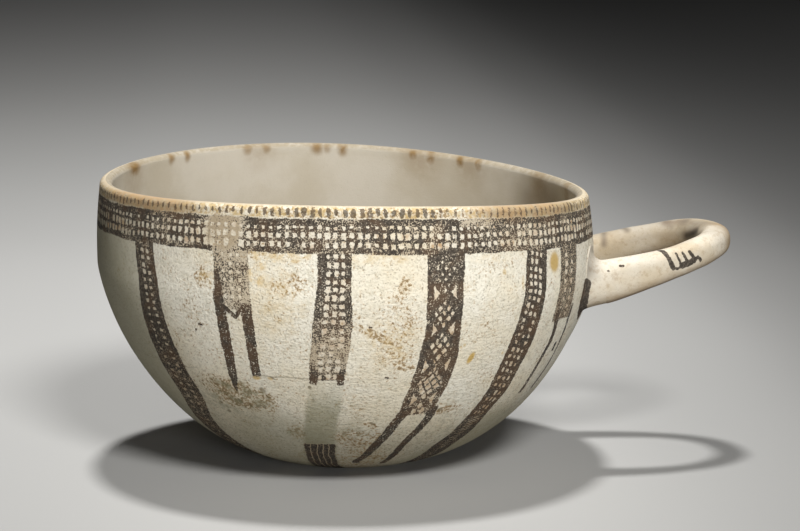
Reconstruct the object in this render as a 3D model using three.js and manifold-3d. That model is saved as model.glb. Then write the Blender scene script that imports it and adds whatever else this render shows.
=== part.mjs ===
// A hand-built, round-bottomed drinking bowl with one horizontal loop handle.
// Millimetres, +Z up. The origin is the middle of the flattened foot, and the handle points along +X.
// The body is two clay sections joined at a level seam. The handle is one bent strap whose two ends
// pass through the wall as tenons, with a clay collar luted round each root and a pad over each end.

import * as THREE from 'three';
import { mergeVertices } from 'three/addons/utils/BufferGeometryUtils.js';
import Module from 'manifold-3d';

const wasm = await Module();
wasm.setup();

// Bowl body
const rimHeight = 106;
const rimRadius = 91.6;
const bellyHeight = 75;
const bellyRadius = 93.8;
const footRadius = 25;
const footRoundness = 1.4;
const sideFullness = 2.65;
const floorThickness = 7;
const lipThickness = 4.8;
const seamHeight = 46;

// Unevenness of the hand-built body: the whole bowl leans away from the handle, and the rim
// dips towards the handle and sags on two sides. The rim's waves die out at the seam.
const bodyLean = 2.1;
const rimDip = 2.9;
const rimSag = 2.2;
const rimSagTurn = THREE.MathUtils.degToRad(6);

// Handle route, as the middle line of the strap. Far is the +Y arm, near is the -Y arm.
const farRootHeight = 65.7;
const farRootOffset = 33.5;
const nearRootHeight = 68.4;
const nearRootOffset = 27.3;
const loopReach = 47.5;
const tipHeight = 80.8;
const tipOffset = 2.4;
const farArmRun = 42;
const farArmRise = 13.5;
const farArmSpread = 2.6;
const farTipRun = 22;
const nearArmRun = 39;
const nearArmRise = 8;
const nearArmSpread = 0.9;
const nearTipRun = 10;

// Handle strap, as half thickness across the strap and half height up it
const strapSquareness = 2.3;
const rootHalfThickness = 5.9;
const rootHalfHeight = 8.5;
const armHalfThickness = 4.6;
const armHalfHeight = 6.1;
const tipHalfThickness = 5.9;
const tipHalfHeight = 5.6;
const tenonHalfThickness = 4.6;
const tenonHalfHeight = 6.2;
const tenonProud = 2;
const shoulderLength = 5;

// Shares of an arm's length over which the strap eases from its root size, and into its tip size
const rootEaseEnd = 0.55;
const tipEaseStart = 0.45;

// Clay that holds the handle
const collarLength = 10;
const collarFlare = 3;
const collarLift = 1.7;
const collarSpread = 1.9;
const collarEdge = 0.5;
const padRadius = 15;
const padRise = 6.2;

// Gap between separately shaped pieces that nest in one another
const clearance = 0.3;

// Fineness of the facets
const bowlSides = 64;
const lowerRows = 9;
const upperRows = 8;
const lipRows = 5;
const strapSides = 20;
const armRows = 14;
const collarRows = 6;
const padSides = 28;
const padRows = 16;
const rowCrowding = 1.8;
const cutterCrowding = 1.3;
const slopeStep = 0.01;
const halvings = 40;
const mergeDistance = 1e-4;

const slipCream = new THREE.MeshStandardMaterial({ color: 0xd6cebb, roughness: 0.82, metalness: 0 });
const wallCream = new THREE.MeshStandardMaterial({ color: 0xdcd4c2, roughness: 0.82, metalness: 0 });
const strapCream = new THREE.MeshStandardMaterial({ color: 0xd9d0b8, roughness: 0.8, metalness: 0 });
const luteCream = new THREE.MeshStandardMaterial({ color: 0xcdc3aa, roughness: 0.85, metalness: 0 });

// A closed solid of a geometry, for joins and cuts
function solidOf(geometry) {
  const bare = geometry.clone();
  bare.deleteAttribute('normal');
  bare.deleteAttribute('uv');
  const merged = mergeVertices(bare, mergeDistance);
  const vertProperties = merged.getAttribute('position').array;
  const triVerts = new Uint32Array(merged.index.array);
  return new wasm.Manifold(new wasm.Mesh({ numProp: 3, vertProperties, triVerts }));
}

function geometryOf(solid) {
  const mesh = solid.getMesh();
  const geometry = new THREE.BufferGeometry();
  geometry.setAttribute('position', new THREE.BufferAttribute(mesh.vertProperties, 3));
  geometry.setIndex(new THREE.BufferAttribute(mesh.triVerts, 1));
  geometry.computeVertexNormals();
  return geometry;
}

// The outer radius at a height: a full curve from the foot to the belly, then drawn in to the rim.
function outerRadius(height) {
  if (height < bellyHeight) {
    const footShare = (footRadius / bellyRadius) ** sideFullness;
    const curveDepth = bellyHeight / (1 - footShare) ** (1 / footRoundness);
    const below = (bellyHeight - height) / curveDepth;
    return bellyRadius * (1 - below ** footRoundness) ** (1 / sideFullness);
  }
  const above = (height - bellyHeight) / (rimHeight - bellyHeight);
  return bellyRadius - (bellyRadius - rimRadius) * above ** 2;
}

// The outward direction of the outer face at a height, as radius and height
function outerNormal(height) {
  const low = Math.max(0, height - slopeStep);
  const slope = (outerRadius(low + 2 * slopeStep) - outerRadius(low)) / (2 * slopeStep);
  return new THREE.Vector2(1, -slope).normalize();
}

function wallThickness(height) {
  return THREE.MathUtils.lerp(floorThickness, lipThickness, height / rimHeight);
}

// The point of a face that lies a depth inside the outer face, straight across from a height on it
function acrossWall(height, depth) {
  const normal = outerNormal(height);
  return new THREE.Vector2(outerRadius(height) - normal.x * depth, height - normal.y * depth);
}

// The inner face's radius at a height, moved further inwards by an extra depth
function innerRadius(height, extra = 0) {
  let low = 0;
  let high = rimHeight;
  for (let halving = 0; halving < halvings; halving += 1) {
    const middle = (low + high) / 2;
    if (acrossWall(middle, wallThickness(middle) + extra).y < height) {
      low = middle;
    } else {
      high = middle;
    }
  }
  return acrossWall(high, wallThickness(high) + extra).x;
}

const lipBase = rimHeight - lipThickness / 2;

function leanAt(height) {
  return bodyLean * height / rimHeight;
}

// Leans the body and waves its rim, as the maker's hands left it.
function uneven(point) {
  const above = THREE.MathUtils.clamp((point.z - seamHeight) / (rimHeight - seamHeight), 0, 1);
  const share = Math.sin(above * Math.PI / 2);
  const angle = Math.atan2(point.y, point.x);
  const dip = rimDip * Math.cos(angle) + rimSag * Math.cos(2 * (angle - rimSagTurn));
  return new THREE.Vector3(point.x - leanAt(point.z), point.y, point.z - share * dip);
}

// A turned form with the hand-built unevenness. The profile holds radii and heights.
function turned(profile) {
  const geometry = new THREE.LatheGeometry(profile, bowlSides);
  geometry.rotateX(Math.PI / 2);
  const position = geometry.getAttribute('position');
  const point = new THREE.Vector3();
  for (let index = 0; index < position.count; index += 1) {
    point.fromBufferAttribute(position, index);
    const moved = uneven(point);
    position.setXYZ(index, moved.x, moved.y, moved.z);
  }
  return geometry;
}

// Evenly stepped values from one end to the other, crowded towards the start by a power above 1
function steps(from, to, count, power = 1) {
  const values = [];
  for (let index = 0; index <= count; index += 1) {
    values.push(from + (to - from) * (index / count) ** power);
  }
  return values;
}

const outerAt = (height) => new THREE.Vector2(outerRadius(height), height);
const innerAt = (height) => new THREE.Vector2(innerRadius(height), height);

// The round base section, up to the seam
function lowerBody() {
  const outer = steps(0, seamHeight, lowerRows, rowCrowding).map(outerAt);
  const inner = steps(floorThickness, seamHeight, lowerRows, rowCrowding).map(innerAt);
  const axisBottom = new THREE.Vector2(0, 0);
  const axisFloor = new THREE.Vector2(0, floorThickness);
  return turned([axisBottom, ...outer, ...inner.reverse(), axisFloor]);
}

// The wall section, from the seam up over the rounded lip
function upperBody() {
  const outer = steps(seamHeight, lipBase, upperRows).map(outerAt);
  const inner = steps(lipBase, seamHeight, upperRows).map(innerAt);
  const lipOuter = outerRadius(lipBase);
  const lipInner = innerRadius(lipBase);
  const lipMiddle = (lipOuter + lipInner) / 2;
  const lip = [];
  for (let row = 1; row < lipRows; row += 1) {
    const angle = Math.PI * row / lipRows;
    const radius = lipMiddle + (lipOuter - lipInner) / 2 * Math.cos(angle);
    lip.push(new THREE.Vector2(radius, lipBase + lipThickness / 2 * Math.sin(angle)));
  }
  return turned([...outer, ...lip, ...inner, outer[0].clone()]);
}

// The whole bowl filled solid and grown by a clearance, for cutting what is luted to the outside
function filledBody(grown) {
  const side = steps(0, rimHeight, lowerRows + upperRows, cutterCrowding)
    .map((height) => acrossWall(height, -grown));
  const bottom = new THREE.Vector2(0, side[0].y);
  const top = new THREE.Vector2(0, side[side.length - 1].y);
  return turned([bottom, ...side, top]);
}

// The hollow of the bowl, shrunk by a clearance, for trimming what is pressed on the inside
function hollow(shrunk) {
  const side = steps(floorThickness + shrunk, rimHeight, lowerRows + upperRows, cutterCrowding)
    .map((height) => new THREE.Vector2(innerRadius(height, shrunk), height));
  const bottom = new THREE.Vector2(0, side[0].y);
  const top = new THREE.Vector2(0, side[side.length - 1].y);
  return turned([bottom, ...side, top]);
}

// The middle of a root of the handle on the outer face. Side is +1 for far and -1 for near.
function rootPoint(side) {
  const offset = side > 0 ? farRootOffset : nearRootOffset;
  const height = side > 0 ? farRootHeight : nearRootHeight;
  const reach = Math.sqrt(outerRadius(height) ** 2 - offset ** 2);
  return new THREE.Vector3(reach - leanAt(height), side * offset, height);
}

const tipReach = bellyRadius - leanAt(tipHeight) + loopReach;
const tipPoint = new THREE.Vector3(tipReach, tipOffset, tipHeight);

// One arm's middle line, from its root on the wall to the tip of the loop
function armCurve(side) {
  const root = rootPoint(side);
  const far = side > 0;
  const run = far ? farArmRun : nearArmRun;
  const rise = far ? farArmRise : nearArmRise;
  const spread = far ? farArmSpread : nearArmSpread;
  const tipRun = far ? farTipRun : nearTipRun;
  const leave = root.clone().add(new THREE.Vector3(run, side * spread, rise));
  const arrive = tipPoint.clone().add(new THREE.Vector3(0, side * tipRun, 0));
  return new THREE.CubicBezierCurve3(root, leave, arrive, tipPoint);
}

// How far a tenon runs back from the outer face, through the wall and a little proud of it
function tenonLength(side) {
  const root = rootPoint(side);
  const normal = outerNormal(root.z);
  const round = Math.atan2(root.y, root.x + leanAt(root.z));
  const outward = new THREE.Vector3(
    normal.x * Math.cos(round),
    normal.x * Math.sin(round),
    normal.y,
  );
  const along = armCurve(side).getTangent(0);
  return wallThickness(root.z) / along.dot(outward) + tenonProud;
}

// A cross-section of the strap: its middle, its direction and its two half sizes
function station(middle, along, halfThickness, halfHeight) {
  return { middle, along, halfThickness, halfHeight };
}

// The stations of a tenon and its shoulder, outwards from the inner end. They end at the root.
function tenonStations(side) {
  const curve = armCurve(side);
  const root = curve.getPoint(0);
  const along = curve.getTangent(0);
  const length = tenonLength(side);
  return [-length, -length / 2, 0].map((distance) => station(
    root.clone().addScaledVector(along, distance),
    along,
    tenonHalfThickness,
    tenonHalfHeight,
  ));
}

// The half size of the strap part of the way along an arm, from its root to the tip
function strapSize(share, atRoot, atMiddle, atTip) {
  const towardsTip = THREE.MathUtils.smoothstep(share, tipEaseStart, 1);
  const fromRoot = 1 - THREE.MathUtils.smoothstep(share, 0, rootEaseEnd);
  return atMiddle + (atTip - atMiddle) * towardsTip + (atRoot - atMiddle) * fromRoot;
}

// The stations of an arm, outwards from where its shoulder has reached the full strap
function armStations(side) {
  const curve = armCurve(side);
  const firstShare = shoulderLength / curve.getLength();
  return steps(firstShare, 1, armRows).map((share) => station(
    curve.getPointAt(share),
    curve.getTangentAt(share),
    strapSize(share, rootHalfThickness, armHalfThickness, tipHalfThickness),
    strapSize(share, rootHalfHeight, armHalfHeight, tipHalfHeight),
  ));
}

// The ring of points round a station, grown by a margin
function ringAt({ middle, along, halfThickness, halfHeight }, margin) {
  const up = new THREE.Vector3(0, 0, 1);
  const across = new THREE.Vector3().crossVectors(along, up).normalize();
  const upright = new THREE.Vector3().crossVectors(across, along);
  const ring = [];
  for (let index = 0; index < strapSides; index += 1) {
    const angle = 2 * Math.PI * index / strapSides;
    const cosine = Math.cos(angle);
    const sine = Math.sin(angle);
    const wide = Math.sign(cosine) * Math.abs(cosine) ** (2 / strapSquareness);
    const high = Math.sign(sine) * Math.abs(sine) ** (2 / strapSquareness);
    ring.push(middle.clone()
      .addScaledVector(across, wide * (halfThickness + margin))
      .addScaledVector(upright, high * (halfHeight + margin)));
  }
  return ring;
}

// A closed skin over a row of rings, with a flat fan over each end
function skinned(rings) {
  const sides = rings[0].length;
  const points = rings.flat();
  const faces = [];
  for (let row = 0; row < rings.length - 1; row += 1) {
    for (let index = 0; index < sides; index += 1) {
      const here = row * sides + index;
      const next = row * sides + (index + 1) % sides;
      faces.push(here, here + sides, next, next, here + sides, next + sides);
    }
  }
  const centreOf = (ring) => ring.reduce((sum, point) => sum.add(point), new THREE.Vector3())
    .divideScalar(sides);
  const first = points.push(centreOf(rings[0])) - 1;
  const last = points.push(centreOf(rings[rings.length - 1])) - 1;
  const lastRow = (rings.length - 1) * sides;
  for (let index = 0; index < sides; index += 1) {
    const next = (index + 1) % sides;
    faces.push(first, index, next);
    faces.push(last, lastRow + next, lastRow + index);
  }
  const geometry = new THREE.BufferGeometry().setFromPoints(points);
  geometry.setIndex(faces);
  geometry.computeVertexNormals();
  return geometry;
}

// The whole handle, grown by a margin: tenon, arm, tip, arm and tenon in one strap. The near arm
// is walked inwards, so its stations are turned round to keep the rings in step.
function strap(margin) {
  const far = [...tenonStations(1), ...armStations(1)];
  const near = [...tenonStations(-1), ...armStations(-1)];
  near.pop();
  const turnedRound = near.reverse().map((one) => ({ ...one, along: one.along.clone().negate() }));
  return skinned([...far, ...turnedRound].map((one) => ringAt(one, margin)));
}

// The clay luted round one root: a hollow fillet that flares from the strap onto the wall, more
// above the strap than below it
function collar(side, outside, grownStrap) {
  const curve = armCurve(side);
  const root = curve.getPoint(0);
  const start = -tenonLength(side);
  const rings = steps(start, collarLength, collarRows).map((distance) => {
    const share = Math.max(0, distance) / curve.getLength();
    const middle = distance > 0
      ? curve.getPointAt(share)
      : root.clone().addScaledVector(curve.getTangent(0), distance);
    const section = station(
      middle,
      curve.getTangentAt(share),
      strapSize(share, rootHalfThickness, armHalfThickness, tipHalfThickness),
      strapSize(share, rootHalfHeight, armHalfHeight, tipHalfHeight),
    );
    const widening = Math.min(((collarLength - distance) / collarLength) ** 2, collarSpread);
    section.middle.z += collarLift * widening;
    return ringAt(section, clearance + collarEdge + collarFlare * widening);
  });
  return solidOf(skinned(rings)).subtract(outside).subtract(grownStrap);
}

// The clay smoothed over one tenon's end on the inner face
function pad(side, inside, grownStrap) {
  const root = rootPoint(side);
  const along = armCurve(side).getTangent(0);
  const depth = tenonLength(side) - tenonProud;
  const blank = new THREE.SphereGeometry(1, padSides, padRows);
  blank.scale(padRise, padRadius, padRadius);
  blank.rotateZ(Math.atan2(root.y, root.x));
  const middle = root.clone().addScaledVector(along, -depth);
  blank.translate(middle.x, middle.y, middle.z);
  return solidOf(blank).intersect(inside).subtract(grownStrap);
}

function named(name, geometry, material) {
  const mesh = new THREE.Mesh(geometry, material);
  mesh.name = name;
  return mesh;
}

const grownStrap = solidOf(strap(clearance));
const outside = solidOf(filledBody(clearance));
const inside = solidOf(hollow(clearance));

const body = new THREE.Group();
body.add(named('bowl_lower', geometryOf(solidOf(lowerBody()).subtract(grownStrap)), slipCream));
body.add(named('bowl_upper', geometryOf(solidOf(upperBody()).subtract(grownStrap)), wallCream));

const handle = new THREE.Group();
handle.add(named('wishbone_handle', strap(0), strapCream));
for (const [word, side] of [['far', 1], ['near', -1]]) {
  handle.add(named(`${word}_outer_collar`, geometryOf(collar(side, outside, grownStrap)), luteCream));
  handle.add(named(`${word}_inner_pad`, geometryOf(pad(side, inside, grownStrap)), luteCream));
}

const group = new THREE.Group();
group.add(body, handle);

export default group;
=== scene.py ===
import math

import bpy
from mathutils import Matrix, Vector, noise


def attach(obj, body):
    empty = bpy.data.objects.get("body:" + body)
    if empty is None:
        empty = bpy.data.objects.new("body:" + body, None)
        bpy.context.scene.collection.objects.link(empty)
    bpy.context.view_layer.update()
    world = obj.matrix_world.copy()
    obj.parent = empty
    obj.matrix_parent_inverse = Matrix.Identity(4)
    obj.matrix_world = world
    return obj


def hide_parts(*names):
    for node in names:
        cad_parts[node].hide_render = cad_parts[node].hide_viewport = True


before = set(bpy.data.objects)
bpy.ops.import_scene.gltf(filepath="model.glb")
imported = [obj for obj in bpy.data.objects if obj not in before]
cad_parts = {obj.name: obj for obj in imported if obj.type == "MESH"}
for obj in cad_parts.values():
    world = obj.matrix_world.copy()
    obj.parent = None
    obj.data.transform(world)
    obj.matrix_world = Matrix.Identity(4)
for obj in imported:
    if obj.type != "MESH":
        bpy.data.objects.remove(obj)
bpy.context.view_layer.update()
print("frame loaded")

# All shapes are worked out in millimetres, and turned to metres when a mesh is made.
millimetre = 0.001


# The shape of the bowl
bowl = {
    "rimHeight": 106.0,
    "rimRadius": 91.6,
    "bellyHeight": 75.0,
    "bellyRadius": 93.8,
    "footRadius": 25.0,
    "footRoundness": 1.4,
    "sideFullness": 2.65,
    "floorThickness": 7.0,
    "lipThickness": 4.8,
    "seamHeight": 46.0,
    "seamSupport": 0.1,    # how near the first row of points lies to the seam
    "bodyLean": 2.1,
    "rimDip": 2.9,
    "rimSag": 2.2,
    "rimSagTurn": math.radians(6),
    "sides": 220,
    "unevenness": 0.45,    # how deep the hand-made hollows in the outer face go
    "lumpSize": 26.0,
}
lipBase = bowl["rimHeight"] - bowl["lipThickness"] / 2


def lerp(start, end, share):
    return start + (end - start) * share


def clamp(value, low=0.0, high=1.0):
    return max(low, min(high, value))


def smoothStep(value, low, high):
    share = clamp((value - low) / (high - low))
    return share * share * (3 - 2 * share)


def outerRadius(height):
    belly = bowl["bellyHeight"]
    if height < belly:
        footShare = (bowl["footRadius"] / bowl["bellyRadius"]) ** bowl["sideFullness"]
        curveDepth = belly / (1 - footShare) ** (1 / bowl["footRoundness"])
        below = (belly - max(height, 0)) / curveDepth
        return bowl["bellyRadius"] * (1 - below ** bowl["footRoundness"]) ** (1 / bowl["sideFullness"])
    above = (height - belly) / (bowl["rimHeight"] - belly)
    return bowl["bellyRadius"] - (bowl["bellyRadius"] - bowl["rimRadius"]) * above ** 2


def outerNormal(height):
    low = max(0.0, height - 0.01)
    slope = (outerRadius(low + 0.02) - outerRadius(low)) / 0.02
    length = math.hypot(1, slope)
    return 1 / length, -slope / length


def wallThickness(height):
    return lerp(bowl["floorThickness"], bowl["lipThickness"], height / bowl["rimHeight"])


def acrossWall(height, depth):
    out, up = outerNormal(height)
    return outerRadius(height) - out * depth, height - up * depth


def innerRadius(height, extra=0.0):
    low = 0.0
    high = bowl["rimHeight"]
    for halving in range(40):
        middle = (low + high) / 2
        if acrossWall(middle, wallThickness(middle) + extra)[1] < height:
            low = middle
        else:
            high = middle
    return acrossWall(high, wallThickness(high) + extra)[0]


def leanAt(height):
    return bowl["bodyLean"] * height / bowl["rimHeight"]


# The lean and the waved rim of a point at an angle, a radius and a height
def unevenPoint(angle, radius, height):
    above = clamp((height - bowl["seamHeight"]) / (bowl["rimHeight"] - bowl["seamHeight"]))
    dip = bowl["rimDip"] * math.cos(angle)
    dip += bowl["rimSag"] * math.cos(2 * (angle - bowl["rimSagTurn"]))
    fall = math.sin(above * math.pi / 2) * dip
    return Vector((radius * math.cos(angle) - leanAt(height), radius * math.sin(angle), height - fall))


# A shallow hollow left by scraping, from 0 to 1, the same on both sides of the seam
def lump(angle, height, size, seed=0.0):
    place = Vector((math.cos(angle) * 92 / size, math.sin(angle) * 92 / size, height / size + seed))
    return 0.5 + 0.5 * noise.noise(place)


def steps(start, end, count, power=1.0):
    return [start + (end - start) * (index / count) ** power for index in range(count + 1)]


# Making meshes. The marks are named values at the points, which the finishes read.
def makeObject(name, points, faces, materials, faceMaterials=None, marks=None, flatFaces=()):
    mesh = bpy.data.meshes.new(name)
    mesh.from_pydata([tuple(point * millimetre) for point in points], [], faces)
    for material in materials:
        mesh.materials.append(material)
    if faceMaterials:
        for polygon, index in zip(mesh.polygons, faceMaterials):
            polygon.material_index = index
    for label, values in (marks or {}).items():
        attribute = mesh.attributes.new(label, "FLOAT", "POINT")
        attribute.data.foreach_set("value", values)
    mesh.validate()
    mesh.update()
    for polygon in mesh.polygons:
        polygon.use_smooth = polygon.index not in flatFaces
    made = bpy.data.objects.new(name, mesh)
    bpy.context.collection.objects.link(made)
    return made


# A turned skin over rows of (radius, height, paint height, hollow depth, material). A row with a
# radius of 0 closes the skin in one point. The level faces where two pieces meet are flat.
def turnedSkin(name, rows, materials, closed):
    sides = bowl["sides"]
    points = []
    heights = []
    radii = []
    rings = []
    for radius, height, paintHeight, hollow, material in rows:
        if radius == 0:
            rings.append([len(points)])
            points.append(unevenPoint(0, 0, height))
            heights.append(paintHeight)
            radii.append(0.5)
            continue
        ring = []
        for side in range(sides):
            angle = 2 * math.pi * side / sides
            depth = hollow * lump(angle, height, bowl["lumpSize"])
            ring.append(len(points))
            points.append(unevenPoint(angle, radius - depth, height))
            heights.append(paintHeight)
            radii.append(max(radius, 0.5))
        rings.append(ring)
    faces = []
    faceMaterials = []
    flatFaces = set()
    pairs = list(range(len(rings) - 1))
    if closed:
        pairs.append(len(rings) - 1)
    for row in pairs:
        here = rings[row]
        there = rings[(row + 1) % len(rings)]
        for side in range(sides):
            after = (side + 1) % sides
            if len(here) == 1:
                faces.append((here[0], there[after], there[side]))
            elif len(there) == 1:
                faces.append((here[side], here[after], there[0]))
            else:
                if rows[row][1] == rows[(row + 1) % len(rings)][1]:
                    flatFaces.add(len(faces))
                faces.append((here[side], here[after], there[after], there[side]))
            faceMaterials.append(rows[row][4])
    marks = {"wallHeight": heights, "wallRadius": radii}
    return makeObject(name, points, faces, materials, faceMaterials, marks, flatFaces)


# Helpers that add one node each and give back its output
def joinTo(tree, source, socket):
    if isinstance(source, bpy.types.NodeSocket):
        tree.links.new(source, socket)
    else:
        socket.default_value = source


def calc(tree, operation, first, second=0.0, third=0.0):
    node = tree.nodes.new("ShaderNodeMath")
    node.operation = operation
    for socket, source in zip(node.inputs, (first, second, third)):
        joinTo(tree, source, socket)
    return node.outputs[0]


def vectorCalc(tree, operation, first, second=None, scale=None):
    node = tree.nodes.new("ShaderNodeVectorMath")
    node.operation = operation
    joinTo(tree, first, node.inputs[0])
    if second is not None:
        joinTo(tree, second, node.inputs[1])
    if scale is not None:
        joinTo(tree, scale, node.inputs["Scale"])
    return node.outputs["Value"] if operation in ("LENGTH", "DISTANCE", "DOT_PRODUCT") else node.outputs[0]


# A smooth step, which keeps within its own ends
def mapped(tree, value, low, high, start=0.0, end=1.0):
    node = tree.nodes.new("ShaderNodeMapRange")
    node.interpolation_type = "SMOOTHSTEP"
    node.clamp = False
    for name, source in (("Value", value), ("From Min", low), ("From Max", high), ("To Min", start), ("To Max", end)):
        joinTo(tree, source, node.inputs[name])
    return node.outputs[0]


def mixed(tree, factor, first, second, blend="MIX"):
    node = tree.nodes.new("ShaderNodeMix")
    node.data_type = "RGBA"
    node.blend_type = blend
    joinTo(tree, factor, node.inputs["Factor"])
    joinTo(tree, first, node.inputs[6])
    joinTo(tree, second, node.inputs[7])
    return node.outputs[2]


def noiseNode(tree, vector, scale, detail, roughness):
    node = tree.nodes.new("ShaderNodeTexNoise")
    tree.links.new(vector, node.inputs["Vector"])
    node.inputs["Scale"].default_value = scale
    node.inputs["Detail"].default_value = detail
    node.inputs["Roughness"].default_value = roughness
    return node


def noiseAt(tree, vector, scale, detail=2.0, roughness=0.5):
    return noiseNode(tree, vector, scale, detail, roughness).outputs["Fac"]


def combined(tree, first=0.0, second=0.0, third=0.0):
    node = tree.nodes.new("ShaderNodeCombineXYZ")
    for socket, source in zip(node.inputs, (first, second, third)):
        joinTo(tree, source, socket)
    return node.outputs[0]


# Four random values for a place
def chanceAt(tree, place):
    node = tree.nodes.new("ShaderNodeTexWhiteNoise")
    node.noise_dimensions = "3D"
    tree.links.new(place, node.inputs["Vector"])
    parts = tree.nodes.new("ShaderNodeSeparateColor")
    tree.links.new(node.outputs["Color"], parts.inputs[0])
    return parts.outputs[0], parts.outputs[1], parts.outputs[2], node.outputs["Value"]


def product(tree, *values):
    result = values[0]
    for value in values[1:]:
        result = calc(tree, "MULTIPLY", result, value)
    return result


# A value read off a curve of listed (place, result) points
def curveOf(tree, value, points, span, reach):
    if len(points) == 1:
        return float(points[0][1])
    share = calc(tree, "DIVIDE", value, span)
    node = tree.nodes.new("ShaderNodeFloatCurve")
    mapping = node.mapping
    mapping.use_clip = False
    mapping.extend = "HORIZONTAL"
    ordered = sorted(points)
    line = mapping.curves[0]
    while len(line.points) < len(ordered):
        line.points.new(0.5, 0.5)
    for point, (place, result) in zip(line.points, ordered):
        point.location = (place / span, result / reach)
        point.handle_type = "AUTO"
    mapping.update()
    tree.links.new(share, node.inputs["Value"])
    return calc(tree, "MULTIPLY", node.outputs[0], reach)


def newGroup(name, inputs, outputs):
    tree = bpy.data.node_groups.new(name, "ShaderNodeTree")
    for label, kind, value in inputs:
        socket = tree.interface.new_socket(name=label, in_out="INPUT", socket_type=kind)
        if value is not None:
            socket.default_value = value
    for label, kind in outputs:
        tree.interface.new_socket(name=label, in_out="OUTPUT", socket_type=kind)
    entry = tree.nodes.new("NodeGroupInput")
    leave = tree.nodes.new("NodeGroupOutput")
    return tree, entry.outputs, leave.inputs


def placeGroup(tree, group, values=None):
    node = tree.nodes.new("ShaderNodeGroup")
    node.node_tree = group
    for label, source in (values or {}).items():
        joinTo(tree, source, node.inputs[label])
    return node.outputs


def colour(red, green, blue):
    def linear(level):
        level /= 255
        return level / 12.92 if level <= 0.04045 else ((level + 0.055) / 1.055) ** 2.4
    return linear(red), linear(green), linear(blue), 1.0


# Effects that several finishes share
number = "NodeSocketFloat"
tint = "NodeSocketColor"
direction = "NodeSocketVector"
black = (0, 0, 0, 1)
white = (1, 1, 1, 1)
onWall = [("Angle", number, 0), ("Height", number, 0), ("Radius", number, 90), ("Centre", number, 0),
          ("Blur", number, 0.25)]
strokeInputs = [("Spot", direction, None), ("Start", direction, None), ("End", direction, None),
                ("Width", number, 1.2), ("Softness", number, 0.3)]


# Angle round the bowl in degrees, height up the wall, radius and the plain place in millimetres.
# Flat is the wall laid out flat.
def makeWallPlace():
    tree, entry, leave = newGroup("wallPlace", [], [
        ("Angle", number), ("Height", number), ("Radius", number), ("Spot", direction), ("Flat", direction)])
    place = tree.nodes.new("ShaderNodeTexCoord").outputs["Object"]
    parts = tree.nodes.new("ShaderNodeSeparateXYZ")
    tree.links.new(place, parts.inputs[0])
    height = tree.nodes.new("ShaderNodeAttribute")
    height.attribute_name = "wallHeight"
    radius = tree.nodes.new("ShaderNodeAttribute")
    radius.attribute_name = "wallRadius"
    lean = calc(tree, "MULTIPLY", height.outputs["Fac"], bowl["bodyLean"] / bowl["rimHeight"] * millimetre)
    across = calc(tree, "ADD", parts.outputs["X"], lean)
    angle = calc(tree, "DEGREES", calc(tree, "ARCTAN2", parts.outputs["Y"], across))
    flat = combined(tree, calc(tree, "MULTIPLY", angle, math.radians(90)), height.outputs["Fac"])
    tree.links.new(angle, leave["Angle"])
    tree.links.new(height.outputs["Fac"], leave["Height"])
    tree.links.new(radius.outputs["Fac"], leave["Radius"])
    tree.links.new(vectorCalc(tree, "SCALE", place, scale=1000.0), leave["Spot"])
    tree.links.new(flat, leave["Flat"])
    return tree


# One cream opening in each cell of a grid, each a little off its place and its size
def makeOpenCell():
    tree, entry, leave = newGroup("openCell", [
        ("Across", number, 0), ("Up", number, 0), ("Seed", number, 0), ("Open", number, 0.5),
        ("Tall", number, 1), ("Ragged", number, 0.5), ("Squareness", number, 5),
    ], [("Hole", number)])
    cell = combined(tree, calc(tree, "FLOOR", entry["Across"]), calc(tree, "FLOOR", entry["Up"]), entry["Seed"])
    aside, upward, wide, high = chanceAt(tree, cell)
    half = product(tree, entry["Open"], calc(tree, "MULTIPLY_ADD", wide, 0.1, 0.25))
    half = calc(tree, "MAXIMUM", half, 0.02)
    tall = product(tree, half, entry["Tall"], calc(tree, "MULTIPLY_ADD", high, 0.36, 0.82))
    sides = []
    for value, chance, size, drift in ((entry["Across"], aside, half, 0.14), (entry["Up"], upward, tall, 0.12)):
        middle = calc(tree, "MULTIPLY_ADD", chance, drift, 0.5 - drift / 2)
        off = calc(tree, "ABSOLUTE", calc(tree, "SUBTRACT", calc(tree, "FRACT", value), middle))
        sides.append(calc(tree, "POWER", calc(tree, "DIVIDE", off, size), entry["Squareness"]))
    root = calc(tree, "DIVIDE", 1.0, entry["Squareness"])
    rounded = calc(tree, "POWER", calc(tree, "ADD", sides[0], sides[1]), root)
    rounded = calc(tree, "ADD", rounded, calc(tree, "MULTIPLY_ADD", entry["Ragged"], 0.9, -0.45))
    kept = mapped(tree, high, 0.03, 0.06)
    tree.links.new(product(tree, mapped(tree, rounded, 1.15, 0.85), kept), leave["Hole"])
    return tree


# A painted strip that runs up the wall, and how far a point is from its middle line
def stripBody(tree, entry, fade):
    gap = calc(tree, "WRAP", calc(tree, "SUBTRACT", entry["Angle"], entry["Centre"]), 180.0, -180.0)
    across = calc(tree, "MULTIPLY", calc(tree, "RADIANS", gap), entry["Radius"])
    side = calc(tree, "ABSOLUTE", across)
    beside = mapped(tree, calc(tree, "SUBTRACT", entry["Half Width"], side),
                    calc(tree, "MULTIPLY", entry["Blur"], -1.0), entry["Blur"])
    low = calc(tree, "MULTIPLY", fade, -1.0)
    below = mapped(tree, calc(tree, "SUBTRACT", entry["Top"], entry["Height"]), low, fade)
    above = mapped(tree, calc(tree, "SUBTRACT", entry["Height"], entry["Bottom"]), low, fade)
    return across, side, product(tree, beside, below, above)


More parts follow.
